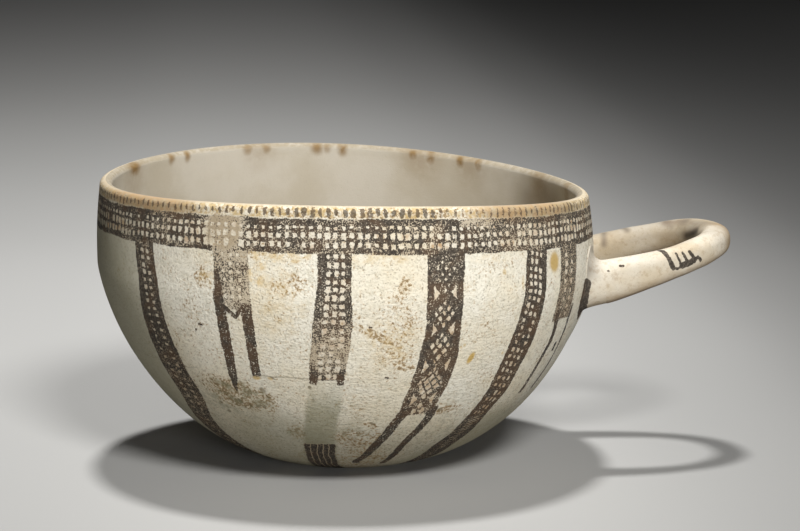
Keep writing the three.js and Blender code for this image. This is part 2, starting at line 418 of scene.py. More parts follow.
# Rows of squares left open in a strip
def makePaintedStrip():
    tree, entry, leave = newGroup("paintedStrip", onWall + [
        ("Half Width", number, 6), ("Top", number, 91), ("Bottom", number, 10), ("Edge", number, 1.6),
        ("Shift", number, 0), ("Rows Across", number, 3), ("Pitch", number, 3), ("Open", number, 0.5),
        ("Tall", number, 1), ("Slant", number, 0), ("Ragged", number, 0.5),
    ], [("Cover", number), ("Body", number), ("Hole", number)])
    across, side, body = stripBody(tree, entry, 0.4)
    inner = calc(tree, "SUBTRACT", entry["Half Width"], entry["Edge"])
    shifted = calc(tree, "SUBTRACT", across, entry["Shift"])
    share = calc(tree, "DIVIDE", calc(tree, "ADD", shifted, inner), calc(tree, "MULTIPLY", inner, 2.0))
    lift = calc(tree, "MULTIPLY", across, entry["Slant"])
    cellUp = calc(tree, "DIVIDE", calc(tree, "ADD", entry["Height"], lift), entry["Pitch"])
    made = placeGroup(tree, openCell, {
        "Across": calc(tree, "MULTIPLY", share, entry["Rows Across"]), "Up": cellUp, "Seed": entry["Pitch"],
        "Open": entry["Open"], "Tall": entry["Tall"], "Ragged": entry["Ragged"]})
    inStrip = mapped(tree, calc(tree, "SUBTRACT", inner, calc(tree, "ABSOLUTE", shifted)), -0.05, 0.05)
    hole = product(tree, made["Hole"], inStrip)
    tree.links.new(product(tree, body, calc(tree, "SUBTRACT", 1.0, hole)), leave["Cover"])
    tree.links.new(body, leave["Body"])
    tree.links.new(hole, leave["Hole"])
    return tree


# Lozenges of small dots down the middle of a dark strip, with an open triangle on each side between them
def makeLozengeStrip():
    tree, entry, leave = newGroup("lozengeStrip", onWall + [
        ("Half Width", number, 7), ("Top", number, 91), ("Bottom", number, 30), ("Edge", number, 2.6),
        ("Length", number, 13.6), ("First Joint", number, 63.4), ("Open", number, 0.5), ("Ragged", number, 0.5),
    ], [("Cover", number), ("Body", number), ("Hole", number)])
    across, side, body = stripBody(tree, entry, 0.8)
    inner = calc(tree, "SUBTRACT", entry["Half Width"], entry["Edge"])
    raised = calc(tree, "DIVIDE", calc(tree, "SUBTRACT", entry["Height"], entry["First Joint"]), entry["Length"])
    fromJoint = product(tree, calc(tree, "PINGPONG", raised, 0.5), 2.0)
    upFrom = product(tree, fromJoint, entry["Length"], 0.5)
    sideFrom = calc(tree, "SUBTRACT", inner, side)
    corner = combined(tree, calc(tree, "ROUND", raised), calc(tree, "SIGN", across), entry["Length"])
    reach = mapped(tree, chanceAt(tree, corner)[3], 0.0, 0.6, 0.55, 1.1)
    pointed = calc(tree, "ADD", calc(tree, "DIVIDE", sideFrom, 2.0), calc(tree, "DIVIDE", upFrom, 2.5))
    pointed = calc(tree, "ADD", pointed, calc(tree, "MULTIPLY_ADD", entry["Ragged"], 0.5, -0.25))
    triangle = product(tree, mapped(tree, calc(tree, "SUBTRACT", reach, pointed), -0.06, 0.1),
                       mapped(tree, sideFrom, -0.1, 0.15))
    triangle = product(tree, triangle, mapped(tree, entry["Height"], 87.0, 85.0))
    up = calc(tree, "DIVIDE", entry["Height"], 3.94)
    aside = calc(tree, "DIVIDE", across, 3.0)
    made = placeGroup(tree, openCell, {
        "Across": calc(tree, "ADD", up, aside), "Up": calc(tree, "SUBTRACT", up, aside),
        "Seed": entry["Length"], "Open": entry["Open"], "Ragged": entry["Ragged"]})
    within = calc(tree, "SUBTRACT", fromJoint, calc(tree, "DIVIDE", side, inner))
    dots = product(tree, made["Hole"], mapped(tree, within, -0.1, 0.1))
    hole = calc(tree, "MAXIMUM", triangle, dots)
    tree.links.new(product(tree, body, calc(tree, "SUBTRACT", 1.0, hole)), leave["Cover"])
    tree.links.new(body, leave["Body"])
    tree.links.new(hole, leave["Hole"])
    return tree


# A plain painted line that runs up the wall
def makePaintedLine():
    tree, entry, leave = newGroup("paintedLine", onWall + [
        ("Half Width", number, 1.3), ("Top", number, 40), ("Bottom", number, 5), ("Fade", number, 0.4),
    ], [("Cover", number)])
    across, side, body = stripBody(tree, entry, entry["Fade"])
    tree.links.new(body, leave["Cover"])
    return tree


# A soft-edged oval spot on the wall, turned by a number of degrees
def makeSoftSpot():
    tree, entry, leave = newGroup("softSpot", onWall + [
        ("Level", number, 50), ("Half Width", number, 2), ("Half Height", number, 2), ("Turn", number, 0),
        ("Softness", number, 0.3),
    ], [("Cover", number)])
    gap = calc(tree, "WRAP", calc(tree, "SUBTRACT", entry["Angle"], entry["Centre"]), 180.0, -180.0)
    across = calc(tree, "MULTIPLY", calc(tree, "RADIANS", gap), entry["Radius"])
    up = calc(tree, "SUBTRACT", entry["Height"], entry["Level"])
    turn = calc(tree, "RADIANS", entry["Turn"])
    cosine = calc(tree, "COSINE", turn)
    sine = calc(tree, "SINE", turn)
    along = calc(tree, "ADD", product(tree, across, cosine), product(tree, up, sine))
    beside = calc(tree, "SUBTRACT", product(tree, up, cosine), product(tree, across, sine))
    away = calc(tree, "ADD", calc(tree, "POWER", calc(tree, "DIVIDE", along, entry["Half Width"]), 2.0),
                calc(tree, "POWER", calc(tree, "DIVIDE", beside, entry["Half Height"]), 2.0))
    away = calc(tree, "SQRT", away)
    tree.links.new(mapped(tree, away, calc(tree, "ADD", 1.0, entry["Softness"]),
                          calc(tree, "SUBTRACT", 1.0, entry["Softness"])), leave["Cover"])
    return tree


# A brush stroke between two places
def makeBrushStroke():
    tree, entry, leave = newGroup("brushStroke", strokeInputs, [("Cover", number)])
    run = vectorCalc(tree, "SUBTRACT", entry["End"], entry["Start"])
    reach = vectorCalc(tree, "SUBTRACT", entry["Spot"], entry["Start"])
    share = calc(tree, "DIVIDE", vectorCalc(tree, "DOT_PRODUCT", reach, run),
                 vectorCalc(tree, "DOT_PRODUCT", run, run))
    share = calc(tree, "MINIMUM", calc(tree, "MAXIMUM", share, 0.0), 1.0)
    nearest = vectorCalc(tree, "SCALE", run, scale=share)
    away = vectorCalc(tree, "DISTANCE", reach, nearest)
    inside = calc(tree, "SUBTRACT", calc(tree, "MULTIPLY", entry["Width"], 0.5), away)
    low = calc(tree, "MULTIPLY", entry["Softness"], -1.0)
    tree.links.new(mapped(tree, inside, low, entry["Softness"]), leave["Cover"])
    return tree


# Matt paint that has flaked off in fine flecks. Cover is where it was brushed on.
def makeFlakedPaint():
    tree, entry, leave = newGroup("flakedPaint", [
        ("Cover", number, 0), ("Wear", number, 0.3), ("Browned", number, 0.3), ("Spot", direction, None),
        ("Dark", tint, black), ("Grey", tint, black), ("Brown", tint, black),
    ], [("Cover", number), ("Color", tint)])
    spot = entry["Spot"]
    fleck = noiseAt(tree, spot, 1.9, 2, 0.55)
    patch = noiseAt(tree, spot, 0.33, 3, 0.6)
    level = calc(tree, "MULTIPLY_ADD", entry["Wear"], 0.27, calc(tree, "MULTIPLY_ADD", patch, 0.34, 0.165))
    thin = calc(tree, "MULTIPLY_ADD", entry["Cover"], -0.2, 0.2)
    stays = mapped(tree, calc(tree, "SUBTRACT", fleck, calc(tree, "ADD", level, thin)), -0.04, 0.045)
    tree.links.new(product(tree, mapped(tree, entry["Cover"], 0.0, 0.6), stays), leave["Cover"])
    clouds = noiseAt(tree, spot, 0.13, 4, 0.65)
    brown = mapped(tree, calc(tree, "MULTIPLY_ADD", entry["Browned"], 0.3, clouds), 0.52, 0.74)
    grey = mapped(tree, noiseAt(tree, spot, 1.1, 2, 0.6), 0.42, 0.68)
    body = mixed(tree, product(tree, grey, 0.7), entry["Dark"], entry["Grey"])
    body = mixed(tree, product(tree, brown, 0.75), body, entry["Brown"])
    tree.links.new(body, leave["Color"])
    return tree


# Slip over clay: clouded colour, dark pits, rusty grit, and the wipe marks as a height
def makeSlipGround():
    tree, entry, leave = newGroup("slipGround", [
        ("Spot", direction, None), ("Height", number, 50), ("Pale", tint, white), ("Warm", tint, white),
        ("Dull", tint, white), ("Grit", tint, white), ("Rust", tint, white), ("Rusty", number, 0.3),
        ("Dull Below", number, 20), ("Coarse", number, 1),
    ], [("Color", tint), ("Grain", number), ("Roughness", number)])
    spot = entry["Spot"]
    cloud = noiseAt(tree, spot, 0.032, 4, 0.6)
    body = mixed(tree, mapped(tree, cloud, 0.36, 0.66), entry["Pale"], entry["Warm"])
    # darker and duller below a given height; on the outer face partly an earthy stain, partly painted shade low on the
    # body
    low = mapped(tree, calc(tree, "SUBTRACT", entry["Dull Below"], entry["Height"]), -26.0, 20.0)
    body = mixed(tree, product(tree, low, 0.8), body, entry["Dull"])
    blotch = noiseAt(tree, spot, 0.3, 4, 0.65)
    body = mixed(tree, product(tree, mapped(tree, blotch, 0.48, 0.72), entry["Coarse"], 0.3), body, entry["Dull"])
    wipe = noiseAt(tree, vectorCalc(tree, "MULTIPLY", spot, (0.52, 0.52, 1.0)), 1.0, 4, 0.62)
    grain = noiseAt(tree, spot, 1.35, 3, 0.6)
    relief = calc(tree, "ADD", product(tree, wipe, 0.5), product(tree, grain, 0.5))
    sunk = mapped(tree, relief, 0.52, 0.38)
    body = mixed(tree, product(tree, sunk, entry["Coarse"], 0.34), body, entry["Dull"])
    pit = mapped(tree, noiseAt(tree, spot, 1.6, 1, 0.5), 0.62, 0.72)
    body = mixed(tree, product(tree, pit, entry["Coarse"], 0.34), body, entry["Grit"])
    speck = noiseAt(tree, spot, 1.0, 3, 0.6)
    patchy = noiseAt(tree, spot, 0.11, 3, 0.7)
    limit = calc(tree, "MULTIPLY_ADD", patchy, -0.42, calc(tree, "MULTIPLY_ADD", entry["Rusty"], -0.18, 0.87))
    above = calc(tree, "SUBTRACT", speck, limit)
    wash = mapped(tree, above, -0.16, 0.05)
    body = mixed(tree, product(tree, wash, 0.3), body, entry["Rust"])
    rust = mapped(tree, above, -0.02, 0.05)
    body = mixed(tree, product(tree, rust, 0.62), body, entry["Rust"])
    deep = mapped(tree, above, 0.03, 0.09)
    body = mixed(tree, product(tree, deep, 0.55), body, entry["Grit"])
    tree.links.new(body, leave["Color"])
    height = calc(tree, "SUBTRACT", relief, product(tree, pit, 0.22))
    tree.links.new(height, leave["Grain"])
    tree.links.new(mapped(tree, blotch, 0.2, 0.8, 0.72, 0.9), leave["Roughness"])
    return tree


wallPlace = makeWallPlace()
openCell = makeOpenCell()
paintedStrip = makePaintedStrip()
lozengeStrip = makeLozengeStrip()
paintedLine = makePaintedLine()
softSpot = makeSoftSpot()
brushStroke = makeBrushStroke()
flakedPaint = makeFlakedPaint()
slipGround = makeSlipGround()
print("shared effects made")


# The painting on the bowl. A strip gives its values up the wall as (height, value) points, with
# angles in degrees and lengths in millimetres.
painting = {
    "bandTop": 101.5,
    "bandBottom": 89.6,
    "squarePitch": 2.84,
    "bandRows": [(98.6, 0.45, 0.95), (95.8, 0.55, 1.3), (92.6, 0.55, 1.3)],    # height, openness, tallness
    "wander": 1.5,    # how far a brushed line strays
    "ladders": [
        {"centre": [(104, -144), (88, -143.7), (75, -142.4), (60, -143), (44, -142.8), (33, -142.6), (21, -147), (0, -150)],
         "half": [(100, 5.7), (75, 5.7), (60, 6.6), (44, 7.2), (33, 6.8), (20, 6.4)], "open": [(90, 0.88), (70, 0.72), (55, 0.58), (44, 0.6), (20, 0.52)],
         "wear": [(90, 0.25), (60, 0.05), (46, 0.25), (20, 0.3)], "brown": [(90, 0.2), (60, 0.3), (20, 0.25)],
         "stain": [(90, 0.8), (60, 1.2), (44, 2.6), (20, 3.2)],
         "across": 2, "pitch": 2.6, "edge": 2.2, "shift": 0.2, "bottom": 3},
        {"centre": [(104, -95.3), (89.4, -95.5), (74, -96.1), (63.7, -96.6), (47.3, -98.4)],
         "half": [(90, 6.0), (74, 6.3), (63.7, 6.8), (47, 6.3)], "open": [(90, 0.97), (70, 0.98), (60, 0.95), (48, 0.95)],
         "wear": [(90, 0.2), (72, 0.26), (66, 0.36), (61, 0.62), (55, 0.75), (50, 0.6), (46, 0.2)],
         "brown": [(90, 0.1), (70, 0.3), (62, 0.45), (52, 0.25), (46, 0.4)],
         "stain": [(90, 0.6), (68, 0.65), (60, 0.9), (50, 0.85)], "across": 3, "pitch": 2.82, "edge": 2.1, "shift": 0.35, "bottom": 45.4},
        {"centre": [(104, -46), (90, -46.1), (80, -46.8), (64, -47.5), (48, -48.7), (34, -49.9),
                    (27.5, -51.5), (23, -52.3), (18.5, -53.2), (13, -55.2), (6, -55.8), (0, -56.4)],
         "half": [(90, 5.4), (71, 6.0), (60, 6.2), (48, 6.2), (34, 5.5), (27, 5.1), (18, 5.5), (11, 5.4), (5, 5.0)],
         "open": [(90, 0.94), (75, 0.96), (62, 0.82), (50, 0.78), (36, 0.84), (26, 0.64)],
         "wear": [(90, 0.05), (60, 0.0), (20, 0.1)], "brown": [(90, 0.1), (64, 0.4), (40, 0.6), (26, 0.7)],
         "stain": [(90, 0.6), (40, 0.7)], "across": 3, "pitch": 2.8, "edge": 1.9, "shift": -0.3, "slant": 0.25, "bottom": 25.5},
        # its lower end is brushed in slanted strokes
        {"centre": [(34, -49.9), (27.5, -51.5), (23, -52.3), (18.5, -53.2), (13, -55.2), (6, -55.8), (0, -56.4)],
         "half": [(34, 5.5), (27, 5.1), (18, 5.5), (11, 5.4), (5, 5.0)],
         "open": [(26, 1.0), (19, 0.8), (12, 0.5)], "wear": [(30, 0.15)], "brown": [(30, 0.3)],
         "stain": [(26, 0.9), (19, 1.7), (10, 2.4)],
         "across": 1, "pitch": 1.05, "edge": 1.1, "slant": -0.1, "tall": 0.5, "top": 26.5, "bottom": 2},
        # the foot of the middle strip, with fine upright lines left open
        {"centre": [(19, -103.2), (4.8, -106.5)], "half": [(19, 5.7), (5, 5.2)], "open": [(20, 0.25)],
         "wear": [(20, 0.0)], "brown": [(20, 0.1)], "stain": [(20, 3.5)],
         "across": 4, "pitch": 40.0, "edge": 0.9, "tall": 12.0, "top": 17.0, "bottom": -4},
        {"centre": [(104, 168), (60, 168.6), (20, 171)], "half": [(100, 6.4), (50, 6.7), (20, 6)], "open": [(90, 1.0), (20, 0.9)],
         "wear": [(90, 0.1), (40, 0.4)], "brown": [(90, 0.2), (30, 0.7)], "stain": [(90, 0.2)],
         "across": 3, "pitch": 2.8, "edge": 1.8, "bottom": 12},
        {"centre": [(104, 119), (60, 118), (20, 115)], "half": [(100, 5.9), (50, 6.6), (20, 6.2)], "open": [(90, 0.9), (20, 0.7)],
         "wear": [(90, 0.5), (60, 0.1)], "brown": [(90, 0.4), (30, 0.5)], "stain": [(90, 0.3)],
         "across": 2, "pitch": 2.9, "edge": 2.1, "bottom": 4},
        {"centre": [(104, 69), (60, 68), (20, 66)], "half": [(100, 6.3), (50, 6.7), (20, 5.6)], "open": [(90, 1.0), (20, 0.8)],
         "wear": [(90, 0.15), (40, 0.3)], "brown": [(90, 0.3), (30, 0.6)], "stain": [(90, 0.2)],
         "across": 3, "pitch": 2.75, "edge": 1.7, "slant": 0.25, "bottom": 20},
        # two strips that are worn almost to the stain
        {"centre": [(104, -118.8), (90, -118.9), (79, -118.6), (70, -118.3)], "half": [(100, 7.2), (80, 6.8), (69, 6.8)],
         "open": [(90, 0.6), (80, 0.66), (70, 0.6)], "wear": [(92, 0.85), (87, 0.8), (84, 0.62), (79, 0.64), (76, 0.8), (70, 0.75)],
         "brown": [(90, 0.1), (70, 0.2)], "stain": [(90, 0.8), (70, 0.7)], "across": 3, "pitch": 2.9, "edge": 2.4, "bottom": 69.5},
        {"centre": [(104, -33), (90, -32.9), (69, -34.3), (62, -34)], "half": [(100, 6.8), (69, 6.4), (62, 6.4)],
         "open": [(90, 0.45), (80, 0.62), (70, 0.5)], "wear": [(92, 0.42), (70, 0.5)], "brown": [(90, 0.0), (66, 0.5)],
         "stain": [(90, 0.9)], "across": 2, "pitch": 3.4, "edge": 1.9, "tall": 1.5, "bottom": 61},
        {"centre": [(104, 34), (60, 34.5)], "half": [(100, 6.4), (60, 6.2)], "open": [(90, 0.7)], "wear": [(90, 0.5)],
         "brown": [(90, 0.2)], "stain": [(90, 0.8)], "across": 2, "pitch": 3.4, "edge": 1.9, "bottom": 58},
    ],
    "lozenges": [
        {"centre": [(104, -71.1), (89, -71.2), (74, -71.6), (62, -71.6), (50, -72), (36, -73.8), (28, -75)],
         "half": [(100, 7.2), (88, 7.15), (74, 6.75), (60, 6.9), (50, 7.5), (36, 7.0), (28, 6.4)], "bottom": 30.0,
         "open": [(90, 0.3), (82, 0.6), (70, 0.85), (55, 0.95), (45, 1.15), (33, 1.1)], "length": 13.4, "joint": 63.0,
         "wear": [(90, 0.2), (80, 0.15), (60, 0.08), (50, 0.1), (40, 0.3), (30, 0.3)],
         "brown": [(90, 0.1), (74, 0.35), (60, 0.45), (45, 0.55), (33, 0.5)],
         "stain": [(90, 0.65), (50, 0.65), (42, 0.7), (33, 0.6)]},
        {"centre": [(104, 143), (60, 143.4), (20, 142)], "half": [(100, 7.2), (50, 7.6), (20, 6.8)], "bottom": 26,
         "open": [(90, 0.8)], "length": 13.0, "joint": 61.0, "wear": [(90, 0.3)], "brown": [(90, 0.3), (30, 0.7)], "stain": [(90, 0.3)]},
        {"centre": [(104, 93.5), (60, 94), (20, 95)], "half": [(100, 7), (50, 7.5), (20, 6.8)], "bottom": 33,
         "open": [(90, 0.9)], "length": 13.8, "joint": 62.0, "wear": [(90, 0.2)], "brown": [(90, 0.3), (30, 0.6)], "stain": [(90, 0.3)]},
    ],
    "legs": [
        # centre, half width, top, bottom and how softly the end fades
        ([(73, -122), (65.5, -121.9), (43, -122.8), (38.5, -123.2)], [(70, 2.0), (47, 1.75), (42, 1.1), (38.5, 0.5)],
         76.0, 39.0, 2.0),
        ([(73, -115.6), (66, -115.5), (45, -116.3)], [(70, 2.0), (46, 1.8)], 71.5, 46.0, 1.6),
        ([(36, -76.6), (31, -78.2), (20, -82.8), (12, -87), (7.1, -91)], [(33, 2.1), (20, 1.9), (7, 1.5)], 33.0, 6.6, 0.5),
        ([(36, -69.2), (28, -70.2), (17, -74.3), (12, -75.6), (5.6, -78)], [(33, 1.8), (17, 1.5), (6, 1.2)], 33.0, 5.4, 0.5),
        ([(70, -36.6), (61, -35.9), (55, -35), (45, -35.8), (32, -36.3)], [(66, 1.7), (50, 1.1), (32, 1.0)], 66.0, 31.5, 1.0),
        ([(60, -29.4), (53, -28.6), (45, -27.6), (32, -28.8)], [(60, 0.9), (50, 0.7), (32, 0.9)], 66.0, 31.5, 1.5),
        ([(52, -31), (46, -30.7)], [(50, 0.9)], 50.8, 46.8, 0.6),
        ([(60, 31.6), (30, 31)], [(50, 1.2)], 60.0, 30.0, 1.0),
        ([(60, 37.4), (30, 37)], [(50, 1.3)], 60.0, 27.0, 1.0),
        ([(40, 97.6), (10, 101)], [(50, 1.6)], 36.0, 8.0, 1.0),
        ([(40, 90.4), (10, 88)], [(50, 1.6)], 36.0, 9.0, 1.0),
        # the paint that is left along the edge of the worn strip, and at the foot of the middle one
        ([(86, -122.3), (70, -121.8)], [(86, 0.9), (76, 1.4)], 83.0, 70.0, 2.0),
        ([(49, -101.2), (44, -102)], [(50, 1.5)], 48.6, 43.6, 0.8),
        ([(49, -95), (44, -95.2)], [(50, 1.3)], 47.8, 43.2, 0.8),
    ],
    # short strokes: degrees and millimetres from, then to, and the width of the brush
    "strokes": [
        ((-120.4, 70.2), (-118.3, 67.2), 1.5), ((-118.3, 67.2), (-116.6, 70.0), 1.5),
        ((-128.4, 63.4), (-127.6, 63.2), 0.7), ((-129.6, 61.2), (-129.4, 61.2), 0.6),
        ((-88.3, 64.9), (-87.9, 64.8), 0.6), ((-84.2, 46.3), (-83.6, 46.1), 0.6),
    ],
    # the brushed line round the near root of the handle
    "rootLine": [(84.8, -35.7, 70.0), (84.6, -35.5, 67.6), (84.0, -34.8, 64.0), (83.8, -33.2, 60.6),
                 (84.3, -28.6, 57.6)],
    "rootLineWidth": 5.0,
    # where the paint has worn down to its stain: degrees, height, half width, half height, softness, strength
    "wornPlaces": [(-120.5, 97.0, 8.0, 8.5, 0.35, 1.1), (-63.0, 100.3, 8.5, 2.0, 0.5, 0.8), (-75.0, 98.5, 12.0, 3.0, 0.6, 0.4),
                   (-132.0, 91.5, 8.0, 1.4, 0.5, 0.5), (110.0, 98.0, 9.0, 6.0, 0.4, 0.9), (40.0, 95.0, 8.0, 5.0, 0.4, 0.7),
                   (-52.0, 96.0, 20.0, 8.0, 0.6, 0.4)],
    # ochre spots: degrees, height, half width, half height, turn, strength
    "ochreSpots": [(-40.0, 84.5, 2.6, 3.7, -6.0, 0.85), (-63.1, 51.4, 1.15, 2.3, -24.0, 0.9), (-56.6, 82.6, 0.8, 1.0, 0.0, 0.5),
                   (-51.2, 78.0, 0.6, 2.4, 0.0, 0.3), (-65.6, 56.7, 0.6, 0.6, 0.0, 0.45), (-53.7, 51.7, 0.6, 0.6, 0.0, 0.5),
                   (-66.5, 56.0, 0.5, 0.5, 0.0, 0.4), (-116.3, 45.0, 1.7, 0.9, 0.0, 0.7),
                   (-112.7, 45.0, 1.1, 0.6, -20.0, 0.55), (152.0, 70.0, 1.5, 2.6, 15.0, 0.6)],
    # dark olive spots, the same
    "oliveSpots": [(-123.8, 34.4, 1.2, 0.8, -30.0, 0.8), (-130.8, 32.7, 0.9, 0.7, 0.0, 0.6), (-127.6, 37.1, 1.0, 0.7, -20.0, 0.5),
                   (-129.8, 29.1, 1.1, 0.6, 0.0, 0.6), (-120.9, 32.7, 1.0, 0.6, -30.0, 0.65), (-118.6, 33.0, 1.3, 0.6, 0.0, 0.6),
                   (-116.9, 32.9, 0.8, 0.7, 0.0, 0.6), (-115.7, 40.0, 1.3, 1.0, -20.0, 0.6), (-114.7, 37.3, 1.0, 0.5, -40.0, 0.6),
                   (-112.0, 45.3, 1.2, 0.4, -30.0, 0.6), (-103.0, 42.3, 0.8, 0.6, 0.0, 0.7), (-102.6, 36.8, 0.7, 0.5, 0.0, 0.5),
                   (-67.4, 31.1, 1.2, 0.8, 0.0, 0.6), (-86.6, 26.8, 1.4, 0.5, -15.0, 0.6), (-95.0, 22.5, 0.9, 0.6, 30.0, 0.5)],
    # patches of rusty grit: degrees, height, half width, half height, turn, strength
    "rustPlaces": [(-86.4, 61.3, 10.5, 1.7, -25.0, 1.0), (-80.8, 78.3, 2.2, 4.2, -15.0, 0.8), (-79.8, 49.5, 3.6, 1.2, 0.0, 1.0),
                   (-82.0, 64.0, 7.0, 15.0, 0.0, 0.42), (-123.5, 37.0, 17.0, 6.5, -8.0, 1.0), (-141.0, 40.0, 8.0, 5.0, 0.0, 0.5), (-106.0, 79.0, 6.0, 4.0, 0.0, 0.6),
                   (-126.2, 80.5, 2.8, 4.0, 20.0, 0.75), (-130.5, 67.5, 4.0, 4.0, 0.0, 0.4), (-65.5, 30.8, 7.0, 1.6, 10.0, 1.0),
                   (-110.0, 22.5, 4.5, 3.0, 0.0, 0.9), (-91.0, 19.5, 13.0, 4.5, 0.0, 0.7), (-96.0, 8.0, 32.0, 7.0, 0.0, 0.6), (-87.0, 26.0, 4.0, 1.2, -20.0, 0.9),
                   (-112.0, 89.0, 9.0, 1.6, 0.0, 0.6), (30.0, 60.0, 14.0, 9.0, 30.0, 0.5), (130.0, 50.0, 16.0, 6.0, 10.0, 0.5),
                   (80.0, 30.0, 16.0, 7.0, 0.0, 0.5)],
    # golden washes: degrees, height, half width, half height, turn, strength
    "goldPlaces": [(-112.8, 84.0, 3.5, 7.0, 0.0, 0.75), (-106.0, 88.5, 9.0, 2.4, 0.0, 0.6), (-125.0, 81.0, 3.0, 4.0, 0.0, 0.5),
                   (-86.5, 88.0, 11.0, 2.0, 0.0, 0.4), (-84.0, 60.0, 9.0, 8.0, -25.0, 0.4), (-60.0, 87.5, 8.0, 1.6, 0.0, 0.3),
                   (-108.0, 72.0, 9.0, 12.0, 0.0, 0.3), (100.0, 80.0, 10.0, 8.0, 0.0, 0.4), (160.0, 60.0, 9.0, 8.0, 0.0, 0.4)],
    # olive haze: degrees, height, half width, half height, turn, strength
    "hazePlaces": [(-122.5, 37.5, 13.0, 5.5, -8.0, 0.95), (-131.0, 33.0, 9.0, 4.0, -10.0, 0.7), (-96.0, 23.0, 12.0, 4.0, 0.0, 0.5),
                   (-110.0, 21.0, 6.0, 3.0, 0.0, 0.6)],
    # where the seam shows most
    "seamPlaces": [(-109.5, 46.0, 11.0, 2.0, 0.0, 1.0), (-137.0, 46.0, 6.0, 2.0, 0.0, 0.5)],
    # painted shade on the lower body and on the lip: degrees, height, half width, half height, turn, strength
    "shadedPlaces": [(-118.0, 16.0, 26.0, 15.0, 0.0, 0.55), (-58.0, 5.0, 16.0, 9.0, 0.0, 0.8),
                   (-42.0, 13.0, 28.0, 14.0, 0.0, 0.75), (-44.0, 104.5, 28.0, 5.0, 0.0, 0.85),
                   (-146.0, 104.5, 28.0, 5.0, 0.0, 0.82)],
    # where the lip is browner
    "brownLips": [(-48.0, 104.0, 24.0, 4.0, 0.0, 0.45), (-146.0, 104.0, 26.0, 4.0, 0.0, 0.5)],
    "tickPitch": 2.85,
    "tickHeight": 103.8,
}


# One mask from a list of spots on the wall
def spotsMask(tree, place, rows):
    mask = 0.0
    for at, level, halfWidth, halfHeight, turn, strength in rows:
        made = placeGroup(tree, softSpot, {
            "Angle": place["Angle"], "Height": place["Height"], "Radius": 90.0, "Centre": at, "Level": level,
            "Half Width": halfWidth, "Half Height": halfHeight, "Turn": turn, "Softness": 0.35})
        mask = calc(tree, "MAXIMUM", product(tree, made["Cover"], strength), mask)
    return mask


